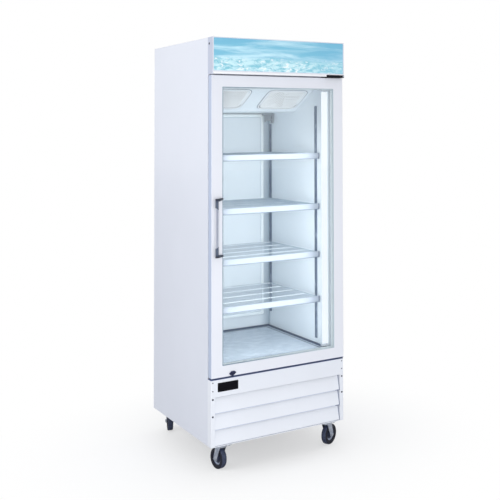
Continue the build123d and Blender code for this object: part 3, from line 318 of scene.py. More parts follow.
def slat_coat():
    """The louvre slats: white enamel, shaded where each slat tucks behind the one above."""
    paint = painted_sheet("slat_coat", (0.84, 0.87, 0.93))
    low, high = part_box("louvre_slats")
    pitch = (high.z - low.z - 5 * MM) / 3
    down = paint.minus(high.z - 4 * MM, paint.axis("Z"))
    share = paint.maths("FRACT", paint.maths("DIVIDE", down, pitch))
    paint.lay((0.46, 0.53, 0.70), paint.below(share, 0.0, 0.09, 0.7))
    # Painted shade at the hinge-side ends, where the end gaps and the stile's recess fall in shade
    from_end = paint.minus(high.x, paint.axis("X"))
    # The slot mask is a painted dark notch under each lip; a dark strip runs along the end
    slot = paint.times(paint.below(from_end, 24 * MM, 26 * MM), paint.below(share, 0.05, 0.08))
    dark = paint.most(slot, paint.below(from_end, 3 * MM, 5 * MM))
    paint.lay((0.10, 0.13, 0.24), paint.times(dark, 0.85))
    return paint


def galvanised():
    """Hot-dip zinc: flat crystals of slightly different greys."""
    steel = Finish("galvanised", 0.45, 0.85)
    crystals = steel.cells(75.0, output="Color")
    shade = steel.node("SeparateColor", {0: crystals}).outputs[0]
    steel.set(
        base=steel.mix(shade, (0.50, 0.52, 0.56), (0.64, 0.66, 0.70)),
        rough=steel.span(shade, 0.0, 1.0, 0.42, 0.52),
    )
    steel.grain(40.0, 0.0001, 4.0)
    return steel


def pan_metal():
    """Grey-blue floor pan: a soft mottle, rubbed streaks along its depth, and painted shade in its folds."""
    paint = Finish("pan_metal", 0.38)
    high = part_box("floor_pan")[1]
    clouds = paint.span(paint.noise(26.0, 6.0, 0.65), 0.35, 0.68)
    rubbed = paint.noise(90.0, stretch=(6.0, 0.25, 1.0))
    to_edge = paint.least(paint.minus(high.x, paint.away("X")), paint.minus(high.y, paint.axis("Y")))
    wall_fold_shade = paint.below(to_edge, 5 * MM, 7 * MM)
    foot_fold_shade = paint.below(paint.size(paint.minus(to_edge, 21 * MM)), 2 * MM, 4 * MM, 0.7)
    paint.set(
        base=paint.mix(clouds, (0.44, 0.52, 0.61), (0.60, 0.67, 0.75)),
        rough=paint.span(rubbed, 0.3, 0.7, 0.3, 0.45),
    )
    paint.lay((0.62, 0.67, 0.73), paint.span(rubbed, 0.5, 0.8, 0.0, 0.35))
    # Painted shade along the fold at the wall and the step in from it
    paint.lay((0.05, 0.08, 0.14), paint.most(wall_fold_shade, foot_fold_shade))
    paint.bump(rubbed, 0.00004)
    return paint


def foam():
    """Cut polyurethane foam: tiny cells and darker skin patches."""
    cream = Finish("foam", 0.9)
    cream.set(base=cream.mottle((0.78, 0.69, 0.44), (0.66, 0.54, 0.28), 12.0, 5.0, 0.4, 0.65))
    cream.bump(cream.cells(900.0), 0.0004)
    return cream


def white_plastic():
    """Moulded white plastic with a fine spark-eroded grain."""
    plastic = Finish("white_plastic", 0.38)
    plastic.set(
        base=plastic.mottle((0.76, 0.80, 0.86), (0.82, 0.85, 0.90), 5.0),
        rough=plastic.span(plastic.noise(160.0), 0.3, 0.7, 0.32, 0.45),
        **{"Subsurface Weight": 0.05, "Subsurface Radius": (0.004, 0.004, 0.004)},
    )
    plastic.grain(1400.0, 0.00003, 1.0)
    return plastic


def black_plastic():
    """Moulded dark plastic: leather-fine grain and lighter rubbed patches."""
    plastic = Finish("black_plastic", 0.42)
    plastic.set(
        base=plastic.mottle((0.012, 0.013, 0.022), (0.03, 0.032, 0.05), 35.0, 4.0, 0.45),
        rough=plastic.span(plastic.noise(90.0), 0.3, 0.7, 0.34, 0.5),
    )
    plastic.bump(plastic.cells(1100.0), 0.00005)
    return plastic


def glass():
    """Tempered low-iron glass: clear through its faces, green-blue at its ground edges."""
    pane = Finish("glass", 0.02)
    pane.set(base=(0.8, 0.92, 0.93))
    seen = pane.node("BsdfTransparent", {0: (0.984, 0.992, 0.992)}).outputs[0]
    dust = pane.span(pane.noise(9.0, 6.0, 0.7), 0.35, 0.8, 0.01, 0.06)
    mirror = pane.node("BsdfGlossy", {"Color": (1.0, 1.0, 1.0), "Roughness": dust}).outputs[0]
    # The Fresnel node turns its IOR over inside the glass, but light crosses this glass unbent
    inside = pane.node("NewGeometry").outputs["Backfacing"]
    power = pane.minus(1.0, pane.times(inside, 2.0))
    fresnel = pane.node("Fresnel", {"IOR": pane.maths("POWER", 1.45, power)}).outputs[0]
    face = pane.node("MixShader", {0: fresnel, 1: seen, 2: mirror}).outputs[0]
    ripple = pane.span(pane.noise(140.0, 2.0, stretch=(1.0, 1.0, 0.15)), 0.3, 0.7)
    edge_tone = pane.mix(ripple, (0.56, 0.76, 0.78), (0.76, 0.90, 0.92))
    edge = pane.node("BsdfPrincipled", {"Base Color": edge_tone, "Roughness": 0.3}).outputs[0]
    is_edge = pane.maths("LESS_THAN", pane.size(pane.facing("Y")), 0.5)
    whole = pane.node("MixShader", {0: is_edge, 1: face, 2: edge}).outputs[0]
    pane.link(whole, pane.output.inputs[0])
    return pane


def spacer_bar():
    """Pale anodised bar with rows of tiny vent holes for the drying beads inside."""
    bar = Finish("spacer_bar", 0.35, 0.1)
    holes = bar.maths("LESS_THAN", bar.cells(400.0), 0.12)
    bar.set(base=bar.mix(holes, (0.84, 0.91, 0.93), (0.30, 0.40, 0.44)))
    bar.grain(700.0, 0.00003)
    return bar


def gasket_rubber():
    rubber = Finish("gasket_rubber", 0.62)
    rubber.set(base=rubber.mottle((0.56, 0.62, 0.70), (0.66, 0.72, 0.79), 20.0, 5.0, 0.4))
    rubber.grain(900.0, 0.00005, 2.0)
    return rubber


def bead_rubber():
    """Slate glazing rubber with a faint bloom, and a painted highlight growing towards the hinge side."""
    rubber = Finish("bead_rubber", 0.55)
    rubber.set(base=rubber.mottle((0.22, 0.30, 0.38), (0.30, 0.39, 0.47), 25.0, 5.0, 0.4))
    # Painted highlight towards the hinge side
    rubber.lay((0.66, 0.76, 0.80), rubber.span(rubber.axis("X"), -0.25, 0.25, 0.0, 0.7))
    rubber.grain(900.0, 0.00004, 2.0)
    return rubber


def anodised():
    """Satin anodised extrusion: long draw lines along its length."""
    metal = Finish("anodised", 0.34, 0.7)
    lines = metal.noise(900.0, stretch=(1.0, 1.0, 0.008))
    metal.set(
        base=metal.mix(metal.span(lines, 0.3, 0.7), (0.52, 0.56, 0.69), (0.66, 0.70, 0.80)),
        rough=metal.span(lines, 0.3, 0.7, 0.26, 0.42),
    )
    metal.bump(lines, 0.00002)
    return metal


def dark_steel():
    """Dark grey coated channel: a speckled coat that is rubbed in patches."""
    steel = Finish("dark_steel", 0.4, 0.3)
    speckle = steel.span(steel.noise(500.0, 2.0), 0.45, 0.62)
    tone = steel.mix(speckle, (0.10, 0.14, 0.21), (0.16, 0.20, 0.28))
    steel.set(base=steel.mottle(tone, (0.28, 0.33, 0.42), 30.0, 4.0, 0.52))
    steel.bump(speckle, 0.00004)
    return steel


def dipped_wire(shelf):
    """Epoxy-dipped wire with slight sags: fine wires in a grey that is painted shade, over bars with a painted
    highlight and a faint painted glow.
    """
    coat = Finish(shelf + "_coat", 0.25)
    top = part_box(shelf)[1].z
    is_bar = coat.below(coat.axis("Z"), top - 3.6 * MM, top - 3.0 * MM)
    # The bars glow faintly though they are no lamp: painted light
    glow = {"Emission Color": (0.95, 0.98, 1.0), "Emission Strength": coat.times(is_bar, 0.5)}
    # The wires' cool grey is painted shade
    coat.set(base=coat.mottle((0.27, 0.35, 0.43), (0.40, 0.48, 0.56), 30.0), **glow)
    # Painted highlight on the bars
    coat.lay((0.93, 0.96, 0.98), is_bar)
    coat.grain(220.0, 0.0001, 2.0)
    return coat


def led_diffuser():
    """Lit ribbed diffuser with a cool cast."""
    lens = Finish("led_diffuser", 0.3)
    ribs = lens.bands(120.0)
    glow = lens.mix(lens.span(ribs, 0.2, 0.8), (0.93, 0.94, 1.0), (1.0, 1.0, 1.0))
    lens.set(base=(0.5, 0.52, 0.55), **{"Emission Color": glow, "Emission Strength": 0.68})
    lens.bump(ribs, 0.0002)
    return lens


def sign_print():
    """Backlit print: wind-drawn water above, broken ice and foam below."""
    low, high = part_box("sign_panel")
    art = Finish("sign_print", 0.18)
    across = art.span(art.axis("X"), low.x, high.x)
    up = art.node("MapRange", {0: art.axis("Z"), 1: low.z, 2: high.z}).outputs[0]

    def streaks(scale, detail, rough, squeeze, tilt, distortion):
        turn = (0, math.radians(tilt), 0)
        return art.noise(scale, detail, rough, (1.0, 1.0, squeeze), turn, distortion)

    wind = streaks(3.4, 6.0, 0.55, 8.5, -9, 0.5)
    chop = streaks(26.0, 5.0, 0.62, 2.6, 10, 0.4)
    crests = streaks(44.0, 3.0, 0.6, 2.2, -16, 0.3)
    deep_corner = art.times(art.span(up, 0.72, 1.0), art.span(across, 0.0, 0.5, 1.0, 0.2))
    deep_end = art.span(across, 0.72, 1.0)
    deep = art.most(art.times(deep_corner, 0.6), art.times(deep_end, 0.45))
    sky = art.mix(art.span(wind, 0.36, 0.66), (0.19, 0.51, 0.68), (0.56, 0.82, 0.92))
    sky = art.mix(deep, sky, (0.16, 0.46, 0.66))
    water = art.mix(art.span(chop, 0.36, 0.6), (0.24, 0.57, 0.68), (0.58, 0.83, 0.89))
    water = art.mix(art.span(crests, 0.54, 0.68, 0.0, 0.85), water, (0.93, 0.97, 0.99))
    water = art.mix(art.times(deep_end, 0.35), water, (0.30, 0.62, 0.76))
    edge = art.maths("ADD", up, art.times(art.minus(chop, 0.5), 0.3))
    picture = art.mix(art.span(edge, 0.34, 0.52), water, sky)
    art.set(base=picture, **{"Emission Color": picture, "Emission Strength": 0.15, "Coat Weight": 0.2})
    return art


def black_enamel():
    """Satin black enamel with a little settled dust."""
    paint = Finish("black_enamel", 0.5)
    tone = paint.mottle((0.004, 0.004, 0.008), (0.014, 0.014, 0.020), 30.0, 5.0, 0.5, 0.75)
    paint.set(base=tone, **{"Specular IOR Level": 0.25})
    paint.grain(320.0, 0.00005, 1.0)
    return paint


def badge_gloss():
    """Black plate with faint brushed lines."""
    plate = Finish("badge_gloss", 0.3)
    brushed = plate.noise(700.0, 2.0, stretch=(0.02, 1.0, 1.0))
    tone = plate.mix(plate.span(brushed, 0.4, 0.7), (0.002, 0.002, 0.004), (0.006, 0.006, 0.010))
    plate.set(base=tone, **{"Specular IOR Level": 0.12})
    plate.bump(brushed, 0.00001)
    return plate


def copper():
    """Drawn copper tube, dulled in patches."""
    tube = Finish("copper", 0.3, 1.0)
    dull = tube.span(tube.noise(60.0, 4.0), 0.4, 0.7)
    tube.set(
        base=tube.mix(dull, (0.72, 0.38, 0.22), (0.36, 0.2, 0.13)),
        rough=tube.span(dull, 0.0, 1.0, 0.25, 0.5),
    )
    tube.grain(400.0, 0.00002)
    return tube


def rail_plastic():
    """Price rails: grey extrusion with fine lengthwise lines, painted shade along its foot, and dark at its ends.
    """
    plastic = Finish("rail_plastic", 0.35)
    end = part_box("price_rails")[1].x
    lines = plastic.noise(900.0, 2.0, stretch=(0.01, 1.0, 1.0))
    share = plastic.span(lines, 0.3, 0.7)
    plastic.set(base=plastic.mix(share, (0.32, 0.36, 0.43), (0.37, 0.41, 0.48)))
    # Painted shade along the foot of each rail
    for low, _ in lumps("price_rails"):
        plastic.lay((0.10, 0.14, 0.20), plastic.below(plastic.away("Z", low.z), 2.2 * MM, 3 * MM))
    is_end = plastic.span(plastic.away("X"), end - 6 * MM, end - 4 * MM, 0.0, 0.8)
    plastic.lay((0.07, 0.09, 0.15), is_end)
    plastic.bump(lines, 0.00002)
    return plastic


def sensor_plastic():
    """Moulded bracket: white plastic darkened to grey as painted shade, more painted shade under its edges, small
    vent holes.
    """
    plastic = Finish("sensor_plastic", 0.45)
    vents = plastic.below(plastic.cells(95.0), 0.18, 0.24, 0.7)
    underside_shade = plastic.below(plastic.facing("Z"), -0.8, -0.2, 0.8)
    dark = plastic.most(vents, underside_shade)
    # The grey tone and the darker underside are painted shade
    plastic.set(base=plastic.mix(dark, (0.27, 0.30, 0.34), (0.04, 0.05, 0.08)))
    plastic.grain(1200.0, 0.00003)
    return plastic


def guard_plastic():
    """Fan guards: bright moulded plastic with a fine grain, and painted shade at the foot of the groove and rim.
    """
    plastic = Finish("guard_plastic", 0.4)
    low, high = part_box("fan_guards")
    out = Vector((0, low.z - high.z, low.y - high.y)).normalized()
    from_middle = plastic.vectors("SUBTRACT", plastic.place, (low + high) / 2)
    level = plastic.vectors("DOT_PRODUCT", from_middle, out, "Value")
    groove_shade = plastic.below(level, -0.7 * MM, -0.3 * MM, 0.9)
    plastic.set(base=plastic.mottle((0.93, 0.935, 0.94), (0.97, 0.97, 0.975), 9.0))
    # Painted shade at the foot of the groove and rim
    plastic.lay((0.06, 0.09, 0.13), groove_shade)
    plastic.grain(1400.0, 0.00003, 1.0)
    return plastic


def handle_plastic():
    """Slate-grey moulded handle ends, darker at their tips."""
    plastic = Finish("handle_plastic", 0.4)
    low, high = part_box("handle_brackets")
    reach = (high.z - low.z) / 2
    away = plastic.away("Z", (low.z + high.z) / 2)
    clouds = plastic.noise(60.0, 4.0)
    plastic.set(base=plastic.mix(clouds, (0.075, 0.10, 0.15), (0.12, 0.15, 0.21)))
    plastic.lay((0.012, 0.014, 0.03), plastic.span(away, reach - 20 * MM, reach))
    plastic.bump(plastic.cells(1100.0), 0.00005)
    return plastic


def zinc():
    """Bright zinc plate: blotched blue-white with hairline rolling marks."""
    plate = Finish("zinc", 0.28, 0.9)
    hairs = plate.noise(800.0, 2.0, stretch=(1.0, 1.0, 0.03))
    plate.set(
        base=plate.mottle((0.5, 0.55, 0.63), (0.74, 0.77, 0.82), 55.0, 4.0, 0.35, 0.65),
        rough=plate.span(hairs, 0.3, 0.7, 0.2, 0.36),
    )
    plate.bump(hairs, 0.00003)
    return plate


def nylon():
    plastic = Finish("nylon", 0.4)
    plastic.set(base=plastic.mix(plastic.noise(60.0), (0.68, 0.68, 0.64), (0.8, 0.8, 0.77)))
    plastic.grain(600.0, 0.00004)
    return plastic


def lock_metal():
    """Dark nickel plate, lighter in patches."""
    metal = Finish("lock_metal", 0.3, 0.8)
    metal.set(base=metal.mottle((0.04, 0.045, 0.10), (0.10, 0.115, 0.20), 150.0, 4.0, 0.4, 0.65))
    metal.grain(500.0, 0.00004, 2.0)
    return metal


def screw_metal():
    metal = Finish("screw_metal", 0.38, 0.7)
    metal.set(base=metal.mix(metal.noise(400.0), (0.02, 0.02, 0.045), (0.05, 0.052, 0.085)))
    metal.grain(1500.0, 0.00003)
    return metal


def copper_fins():
    """Thin aluminium fins stacked across the coil."""
    fins = Finish("copper_fins", 0.35, 0.8)
    gaps = fins.span(fins.bands(160.0), 0.25, 0.6)
    fins.set(base=fins.mix(gaps, (0.05, 0.055, 0.06), (0.62, 0.64, 0.66)))
    fins.bump(gaps, 0.0008)
    return fins


def axle(corner):
    """A point on a caster wheel's axle, and the axle's direction."""
    roll = next(joint for joint in frame["joints"] if joint["name"] == "roll_" + corner)
    return Vector(roll["pos_m"]), Vector(roll["axis"]).normalized()


def from_axle(finish, corner):
    """How far a point stands from a caster wheel's axle, in metres."""
    place, direction = axle(corner)
    out = finish.vectors("SUBTRACT", finish.place, place)
    turned = finish.vectors("CROSS_PRODUCT", out, direction)
    return finish.vectors("LENGTH", turned, output="Value")


def turned_rings(finish, radial, pitch):
    """Rings round an axle, one for each pitch in metres."""
    finish.bump(finish.maths("SINE", finish.times(radial, 2 * math.pi / pitch)), 0.0002)


def rim_grey(corner):
    """Grey moulded wheel centre: waxy, with turned rings, a painted highlight ring, and painted shade in its
    recess.
    """
    plastic = Finish("rim_grey_" + corner, 0.4)
    radial = from_axle(plastic, corner)
    wax = plastic.noise(45.0, 4.0)
    highlight_ring = plastic.times(
        plastic.span(radial, 24 * MM, 26 * MM),
        plastic.below(radial, 29 * MM, 31 * MM, 0.8),
    )
    plastic.set(base=plastic.mix(wax, (0.14, 0.16, 0.23), (0.24, 0.27, 0.35)))
    # Painted highlight ring
    plastic.lay((0.42, 0.47, 0.58), highlight_ring)
    # Painted shade in the recess
    plastic.lay((0.02, 0.025, 0.05), plastic.below(radial, 21 * MM, 24 * MM, 0.95))
    turned_rings(plastic, radial, 5 * MM)
    return plastic


def tyre_rubber(corner):
    """Solid rubber: black sidewalls with moulded rings, and a greyer, dusty tread."""
    rubber = Finish("tyre_rubber_" + corner, 0.55)
    radial = from_axle(rubber, corner)
    dust = rubber.span(rubber.noise(70.0, 6.0, 0.7), 0.42, 0.7)
    wall = rubber.mix(dust, (0.003, 0.003, 0.010), (0.012, 0.014, 0.030))
    tread = rubber.mix(dust, (0.035, 0.045, 0.085), (0.075, 0.09, 0.15))
    rubber.set(
        base=rubber.mix(rubber.span(radial, 47.5 * MM, 49.3 * MM), wall, tread),
        rough=rubber.span(dust, 0.0, 1.0, 0.45, 0.7),
    )
    turned_rings(rubber, radial, 3.5 * MM)
    rubber.grain(650.0, 0.00012)
    return rubber


# Finishes that have the name of the record's slot they stand for
SLOT_FINISHES = (
    white_enamel, white_powder_coat, liner_coat, galvanised, pan_metal, foam, white_plastic,
    black_plastic, glass, spacer_bar, gasket_rubber, anodised, dark_steel, led_diffuser, sign_print,
    black_enamel, zinc, nylon, lock_metal, screw_metal, copper_fins,
)
materials = {make.__name__: make().material for make in SLOT_FINISHES}

# Nodes whose coat differs from their slot's usual finish
OWN_FINISHES = {
    "sign_housing": sign_coat,
    "front_panel": panel_coat,
    "louvre_slats": slat_coat,
    "handle_brackets": handle_plastic,
    "price_rails": rail_plastic,
    "fan_guards": guard_plastic,
    "duct_panel": duct_coat,
    "sensor_clip": sensor_plastic,
    "badge_plate": badge_gloss,
}
WHEEL_FINISHES = {"tyre": tyre_rubber, "rim": rim_grey}


def paint_frame():
    """Give each CAD node its own finish, or that of its slot in the record."""
    for part in frame["record"]["subparts"]:
        node, slot = part["node"], part["material_slot"]
        kind, _, corner = node.partition("_")
        if node in OWN_FINISHES:
            material = OWN_FINISHES[node]().material
        elif node.startswith("wire_shelf_"):
            material = dipped_wire(node).material
        elif kind in WHEEL_FINISHES:
            material = WHEEL_FINISHES[kind](corner).material
        else:
            material = materials[slot]
        piece = frame["nodes"][node]
        piece.data.materials.clear()
        piece.data.materials.append(material)


# ==== CAD edges
# The rolled or moulded edges of sheets and castings, by their radius in millimetres
EDGES = {
    0.5: ("louvre_slats", "price_rails", "floor_pan", "hinge_plates"),
    0.6: ("handle_brackets",),
    0.8: ("face_frame", "sign_housing", "front_panel", "door_frame"),
    1.0: ("outer_wrapper",),
    1.2: ("handle_grip",),
}


def soften_edges():
    """Round the sharp edges of the CAD sheets, without touching their meshes."""
    for radius, nodes in EDGES.items():
        for node in nodes:
            modifiers = frame["nodes"][node].modifiers
            modifiers.new("weld", "WELD").merge_threshold = 0.01 * MM
            bevel = modifiers.new("edge", "BEVEL")
            bevel.width = radius * MM
            bevel.segments = 2
            bevel.angle_limit = math.radians(40)
            modifiers.new("shade", "WEIGHTED_NORMAL").keep_sharp = True


# ==== mesh tools
def new_object(name, data):
    """An object in the scene with this mesh, light or camera."""
    made = bpy.data.objects.new(name, data)
    bpy.context.scene.collection.objects.link(made)
    return made


def metres(points):
    """Points given in millimetres, in metres."""
    return [tuple(value * MM for value in point) for point in points]


def square_to(axis):
    """Two unit vectors square to an axis and to each other."""
    side = axis.cross(Z if abs(axis.z) < 0.9 else X).normalized()
    return side, axis.cross(side)


def circle(radius, count):
    turns = [2 * math.pi * i / count for i in range(count)]
    return [(radius * math.cos(turn), radius * math.sin(turn)) for turn in turns]


def round_rectangle(half_width, half_height, radius, steps=4):
    """The outline of a rectangle with rounded corners, as points about its centre."""
    points = []
    for quarter, (side, end) in enumerate(((1, 1), (-1, 1), (-1, -1), (1, -1))):
        for step in range(steps + 1):
            angle = math.pi / 2 * (quarter + step / steps)
            points.append((
                side * (half_width - radius) + radius * math.cos(angle),
                end * (half_height - radius) + radius * math.sin(angle),
            ))
    return points


def spot(place, axes, u, v, level):
    """A point across, along and out from a place."""
    across, along, out = axes
    return place + across * u + along * v + out * level


class Shape:
    """A mesh built from rings of points in the row frame."""

    def __init__(self):
        self.mesh = bmesh.new()

    def loft(self, rings, closed=False):
        """Skin the rings in turn. Both ends are capped, unless the last ring meets the first."""
        rows = [[self.mesh.verts.new(point) for point in ring] for ring in rings]
        pairs = list(zip(rows, rows[1:]))
        if closed:
            pairs.append((rows[-1], rows[0]))
        else:
            self.mesh.faces.new(rows[0])
            self.mesh.faces.new(rows[-1])
        for low, high in pairs:
            for first, second in zip(range(len(low)), [*range(1, len(low)), 0]):
                self.mesh.faces.new((low[first], low[second], high[second], high[first]))

    def stack(self, place, axis, layers):
        """Loft flat outlines that stand square to an axis. Each layer is (height, outline)."""
        axis = Vector(axis).normalized()
        axes = (*square_to(axis), axis)
        self.loft([
            [spot(Vector(place), axes, u, v, height) for u, v in outline]
            for height, outline in layers
        ])

    def lathe(self, place, axis, profile, count=24):
        """Turn (radius, height) points about an axis."""
        self.stack(place, axis, [(height, circle(radius, count)) for radius, height in profile])

    def plate(self, place, axes, half_size, corner, steps, is_rim=False):
        """Loft rounded rectangles. Each step is the distance in from the edge and the height.

        A rim is open in its middle, and its corners keep their centres as it steps in.
        """
        rings = []
        for inset, level in steps:
            radius, count = (corner - inset, 8) if is_rim else (corner, 4)
            outline = round_rectangle(half_size[0] - inset, half_size[1] - inset, radius, count)
            rings.append([spot(place, axes, u, v, level) for u, v in outline])
        self.loft(rings, closed=is_rim)

    def border(self, low, high, section):
        """Run a section round an upright rectangle. Its points are the distance out and back."""
        rings = []
        for side, end in ((1, 1), (-1, 1), (-1, -1), (1, -1)):
            corner = Vector((high.x if side > 0 else low.x, low.y, high.z if end > 0 else low.z))
            rings.append([corner + Vector((side * out, back, end * out)) for out, back in section])
        self.loft(rings, closed=True)

    def tube(self, path, radius, count=10):
        """Sweep a circle along a path of points."""
        rings = []
        side = None
        for index, point in enumerate(path):
            ahead = path[min(index + 1, len(path) - 1)] - path[max(index - 1, 0)]
            ahead.normalize()
            side = side or square_to(ahead)[0]
            side = (side - ahead * side.dot(ahead)).normalized()
            other = ahead.cross(side)
            rings.append([point + side * u + other * v for u, v in circle(radius, count)])
        self.loft(rings)

    def piece(self, name, slot, body, replaced=None, material=None):
        """Make a visible piece that rides on a body. It has the finish of a node it replaces."""
        if replaced:
            material = frame["nodes"][replaced].data.materials[0]
        bmesh.ops.recalc_face_normals(self.mesh, faces=self.mesh.faces)
        mesh = bpy.data.meshes.new(name)
        self.mesh.to_mesh(mesh)
        self.mesh.free()
        mesh.materials.append(material or materials[slot])
        mesh.shade_smooth()
        mesh.set_sharp_from_angle(angle=math.radians(35))
        made = new_object(name, mesh)
        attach(made, body)
        if replaced:
            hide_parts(replaced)


def lumps(node):
    """The lowest and highest corners of each separate solid of a CAD node, from left to right."""
    work = bmesh.new()
    work.from_mesh(frame["nodes"][node].data)
    bmesh.ops.remove_doubles(work, verts=work.verts, dist=0.01 * MM)
    waiting = {vert.index: vert for vert in work.verts}
    found = []
    while waiting:
        reached = [waiting.popitem()[1]]
        low, high = reached[0].co.copy(), reached[0].co.copy()
        while reached:
            vert = reached.pop()
            low = Vector(map(min, low, vert.co))
            high = Vector(map(max, high, vert.co))
            for edge in vert.link_edges:
                other = edge.other_vert(vert)
                if other.index in waiting:
                    del waiting[other.index]
                    reached.append(other)
        found.append((low, high))
    work.free()
    return sorted(found, key=lambda box: tuple(box[0]))


def curve_through(points, steps=8):
    """A smooth path (Catmull-Rom) through the points."""
    ends = [points[0] * 2 - points[1], *points, points[-1] * 2 - points[-2]]
    path = [points[0]]
    for before, start, finish, after in zip(ends, ends[1:], ends[2:], ends[3:]):
        for step in range(1, steps + 1):
            t = step / steps
            path.append(0.5 * (
                start * 2
                + (finish - before) * t
                + (before * 2 - start * 5 + finish * 4 - after) * t * t
                + (start * 3 - before - finish * 3 + after) * t * t * t
            ))
    return path


# ==== detail pieces
def cross_outline(reach, half_width):
    """A plus-shaped outline of 24 points, for a screw's recess."""
    arm = ((reach, -half_width), (reach, half_width), (half_width, half_width))
    turns = [Matrix.Rotation(math.pi / 2 * quarter, 2) for quarter in range(4)]
    corners = [turn @ Vector(point) for turn in turns for point in arm]
    outline = []
    for here, there in zip(corners, corners[1:] + corners[:1]):
        outline += [here, (here + there) / 2]
    return outline


def screw_head(shape, seat, axis, radius, height):
    """A pan head with a cross recess, standing on its seat."""
    # Each point is the share of the radius and of the height
    profile = ((1.0, 0.0), (1.0, 0.35), (0.93, 0.7), (0.72, 0.95))
    layers = [(height * up, circle(radius * out, 24)) for out, up in profile]
    layers.append((height, cross_outline(radius * 0.52, radius * 0.14)))
    layers.append((height * 0.35, cross_outline(radius * 0.44, radius * 0.11)))
    shape.stack(seat, axis, layers)


def make_cover_screws():
    """The screws on the sign's ends and on the stile, each a little prouder than in the CAD."""
    proud = 0.4 * MM
    shape = Shape()
    for low, high in lumps("cover_screws"):
        middle, size = (low + high) / 2, high - low
        if size.x < size.z * 0.6:
            side = math.copysign(1.0, middle.x)
            seat = Vector((low.x if side > 0 else high.x, middle.y, middle.z))
            screw_head(shape, seat, X * side, size.z / 2, size.x + proud)
        else:
            seat = Vector((middle.x, high.y, middle.z))
            screw_head(shape, seat, -Y, size.x / 2, size.y + proud)
    shape.piece("cross_screws", "screw_metal", "cabinet", "cover_screws")


def make_back_screws():
    """Pan heads round the edges of the back panel and the rear grille."""
    inset = 14 * MM
    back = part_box("outer_wrapper")[1].y
    shape = Shape()
    for node, columns, rows in (("back_panel", 2, 6), ("rear_grille", 4, 2)):
        low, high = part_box(node)
        for column in range(columns):
            for row in range(rows):
                x = low.x + inset + (high.x - low.x - 2 * inset) * column / (columns - 1)
                z = low.z + inset + (high.z - low.z - 2 * inset) * row / (rows - 1)
                screw_head(shape, Vector((x, back, z)), Y, 4 * MM, 2 * MM)
    shape.piece("back_screws", "zinc", "cabinet")


def make_gasket():
    """A bellows seal: a dart in the door's rail, two folds, and a flat magnet pocket."""
    low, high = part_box("door_gasket")
    # Each point is the distance in from the outer edge, in millimetres, and the share of the depth
    section = (
        (0, 1.0), (0, 0.72), (4, 0.64), (1.5, 0.5), (1.5, 0.4), (4, 0.26), (3, 0.0), (15, 0.0),
        (14, 0.26), (18, 0.4), (18, 0.5), (15, 0.64), (20, 0.72), (20, 1.0), (12, 1.0), (10, 0.94),
        (8, 1.0),
    )
    shape = Shape()
    shape.border(low, high, [(-inset * MM, share * (high.y - low.y)) for inset, share in section])
    shape.piece("bellows_gasket", "gasket_rubber", "door", "door_gasket")


def make_glazing_bead():
    """The glazing rubber round the door's opening: a low, rounded lip on the frame's inner edge."""
    low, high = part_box("door_frame")
    # The opening is found from the frame's front face, above the lock's hole
    vertices = frame["nodes"]["door_frame"].data.vertices
    front = [vertex.co for vertex in vertices if vertex.co.y < low.y + 0.5 * MM]
    half_width = min(abs(point.x) for point in front if point.z > (low.z + high.z) / 2)
    heights = [point.z for point in front if abs(abs(point.x) - half_width) < 0.5 * MM]
    # Each point is the distance out from the opening's edge and back from the front of the frame
    section = metres((
        (-0.6, 4.0), (-0.6, -0.2), (0.0, -0.8), (2.4, -0.8), (3.4, 0.0), (3.4, 0.4), (0.0, 0.4),
        (0.0, 4.0),
    ))
    opening_low = Vector((-half_width, low.y, min(heights)))
    opening_high = Vector((half_width, low.y, max(heights)))
    shape = Shape()
    shape.border(opening_low, opening_high, section)
    shape.piece("glazing_bead", "gasket_rubber", "door", material=bead_rubber().material)


def make_tyres():
    """Rounded tyres whose sidewalls lap over the rims, with two grooves round the tread."""
    # Each point is the radius and the distance from the wheel's middle plane
    half = metres((
        (31, 11.4), (32.5, 12.6), (36, 13.2), (38, 13.7), (39, 13.2), (43, 14), (46.5, 13.6),
        (49, 11.8), (50, 9.4), (50, 5.4), (49.2, 5), (49.2, 4.2), (50, 3.8),
    ))
    section = [*half, *[(radius, -offset) for radius, offset in reversed(half)]]
    for corner in CORNERS:
        place, direction = axle(corner)
        axes = (*square_to(direction), direction)
        shape = Shape()
        shape.loft([
            [spot(place, axes, radius * u, radius * v, offset) for radius, offset in section]
            for u, v in circle(1.0, 64)
        ], closed=True)
        node = "tyre_" + corner
        shape.piece("lapped_" + node, "tyre_rubber", "wheel_" + corner, node)


def make_badge():
    """A name plate left blank: a raised rim round a sunk field."""
    low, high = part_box("badge_plate")
    size = high - low
    # Each point is the distance in from the edge, in millimetres, and the share of the depth
    profile = (
        (0, 0.0), (0, 0.6), (0.6, 1.0), (2.2, 1.0), (2.6, 0.7), (4.4, 0.7), (4.6, 0.8), (5, 0.8),
        (5.2, 0.7),
    )
    place = Vector(((low.x + high.x) / 2, high.y, (low.z + high.z) / 2))
    steps = [(inset * MM, share * size.y) for inset, share in profile]
    shape = Shape()
    shape.plate(place, FRONT, (size.x / 2, size.z / 2), 2.4 * MM, steps)
    shape.piece("blank_badge", "black_enamel", "cabinet", "badge_plate")


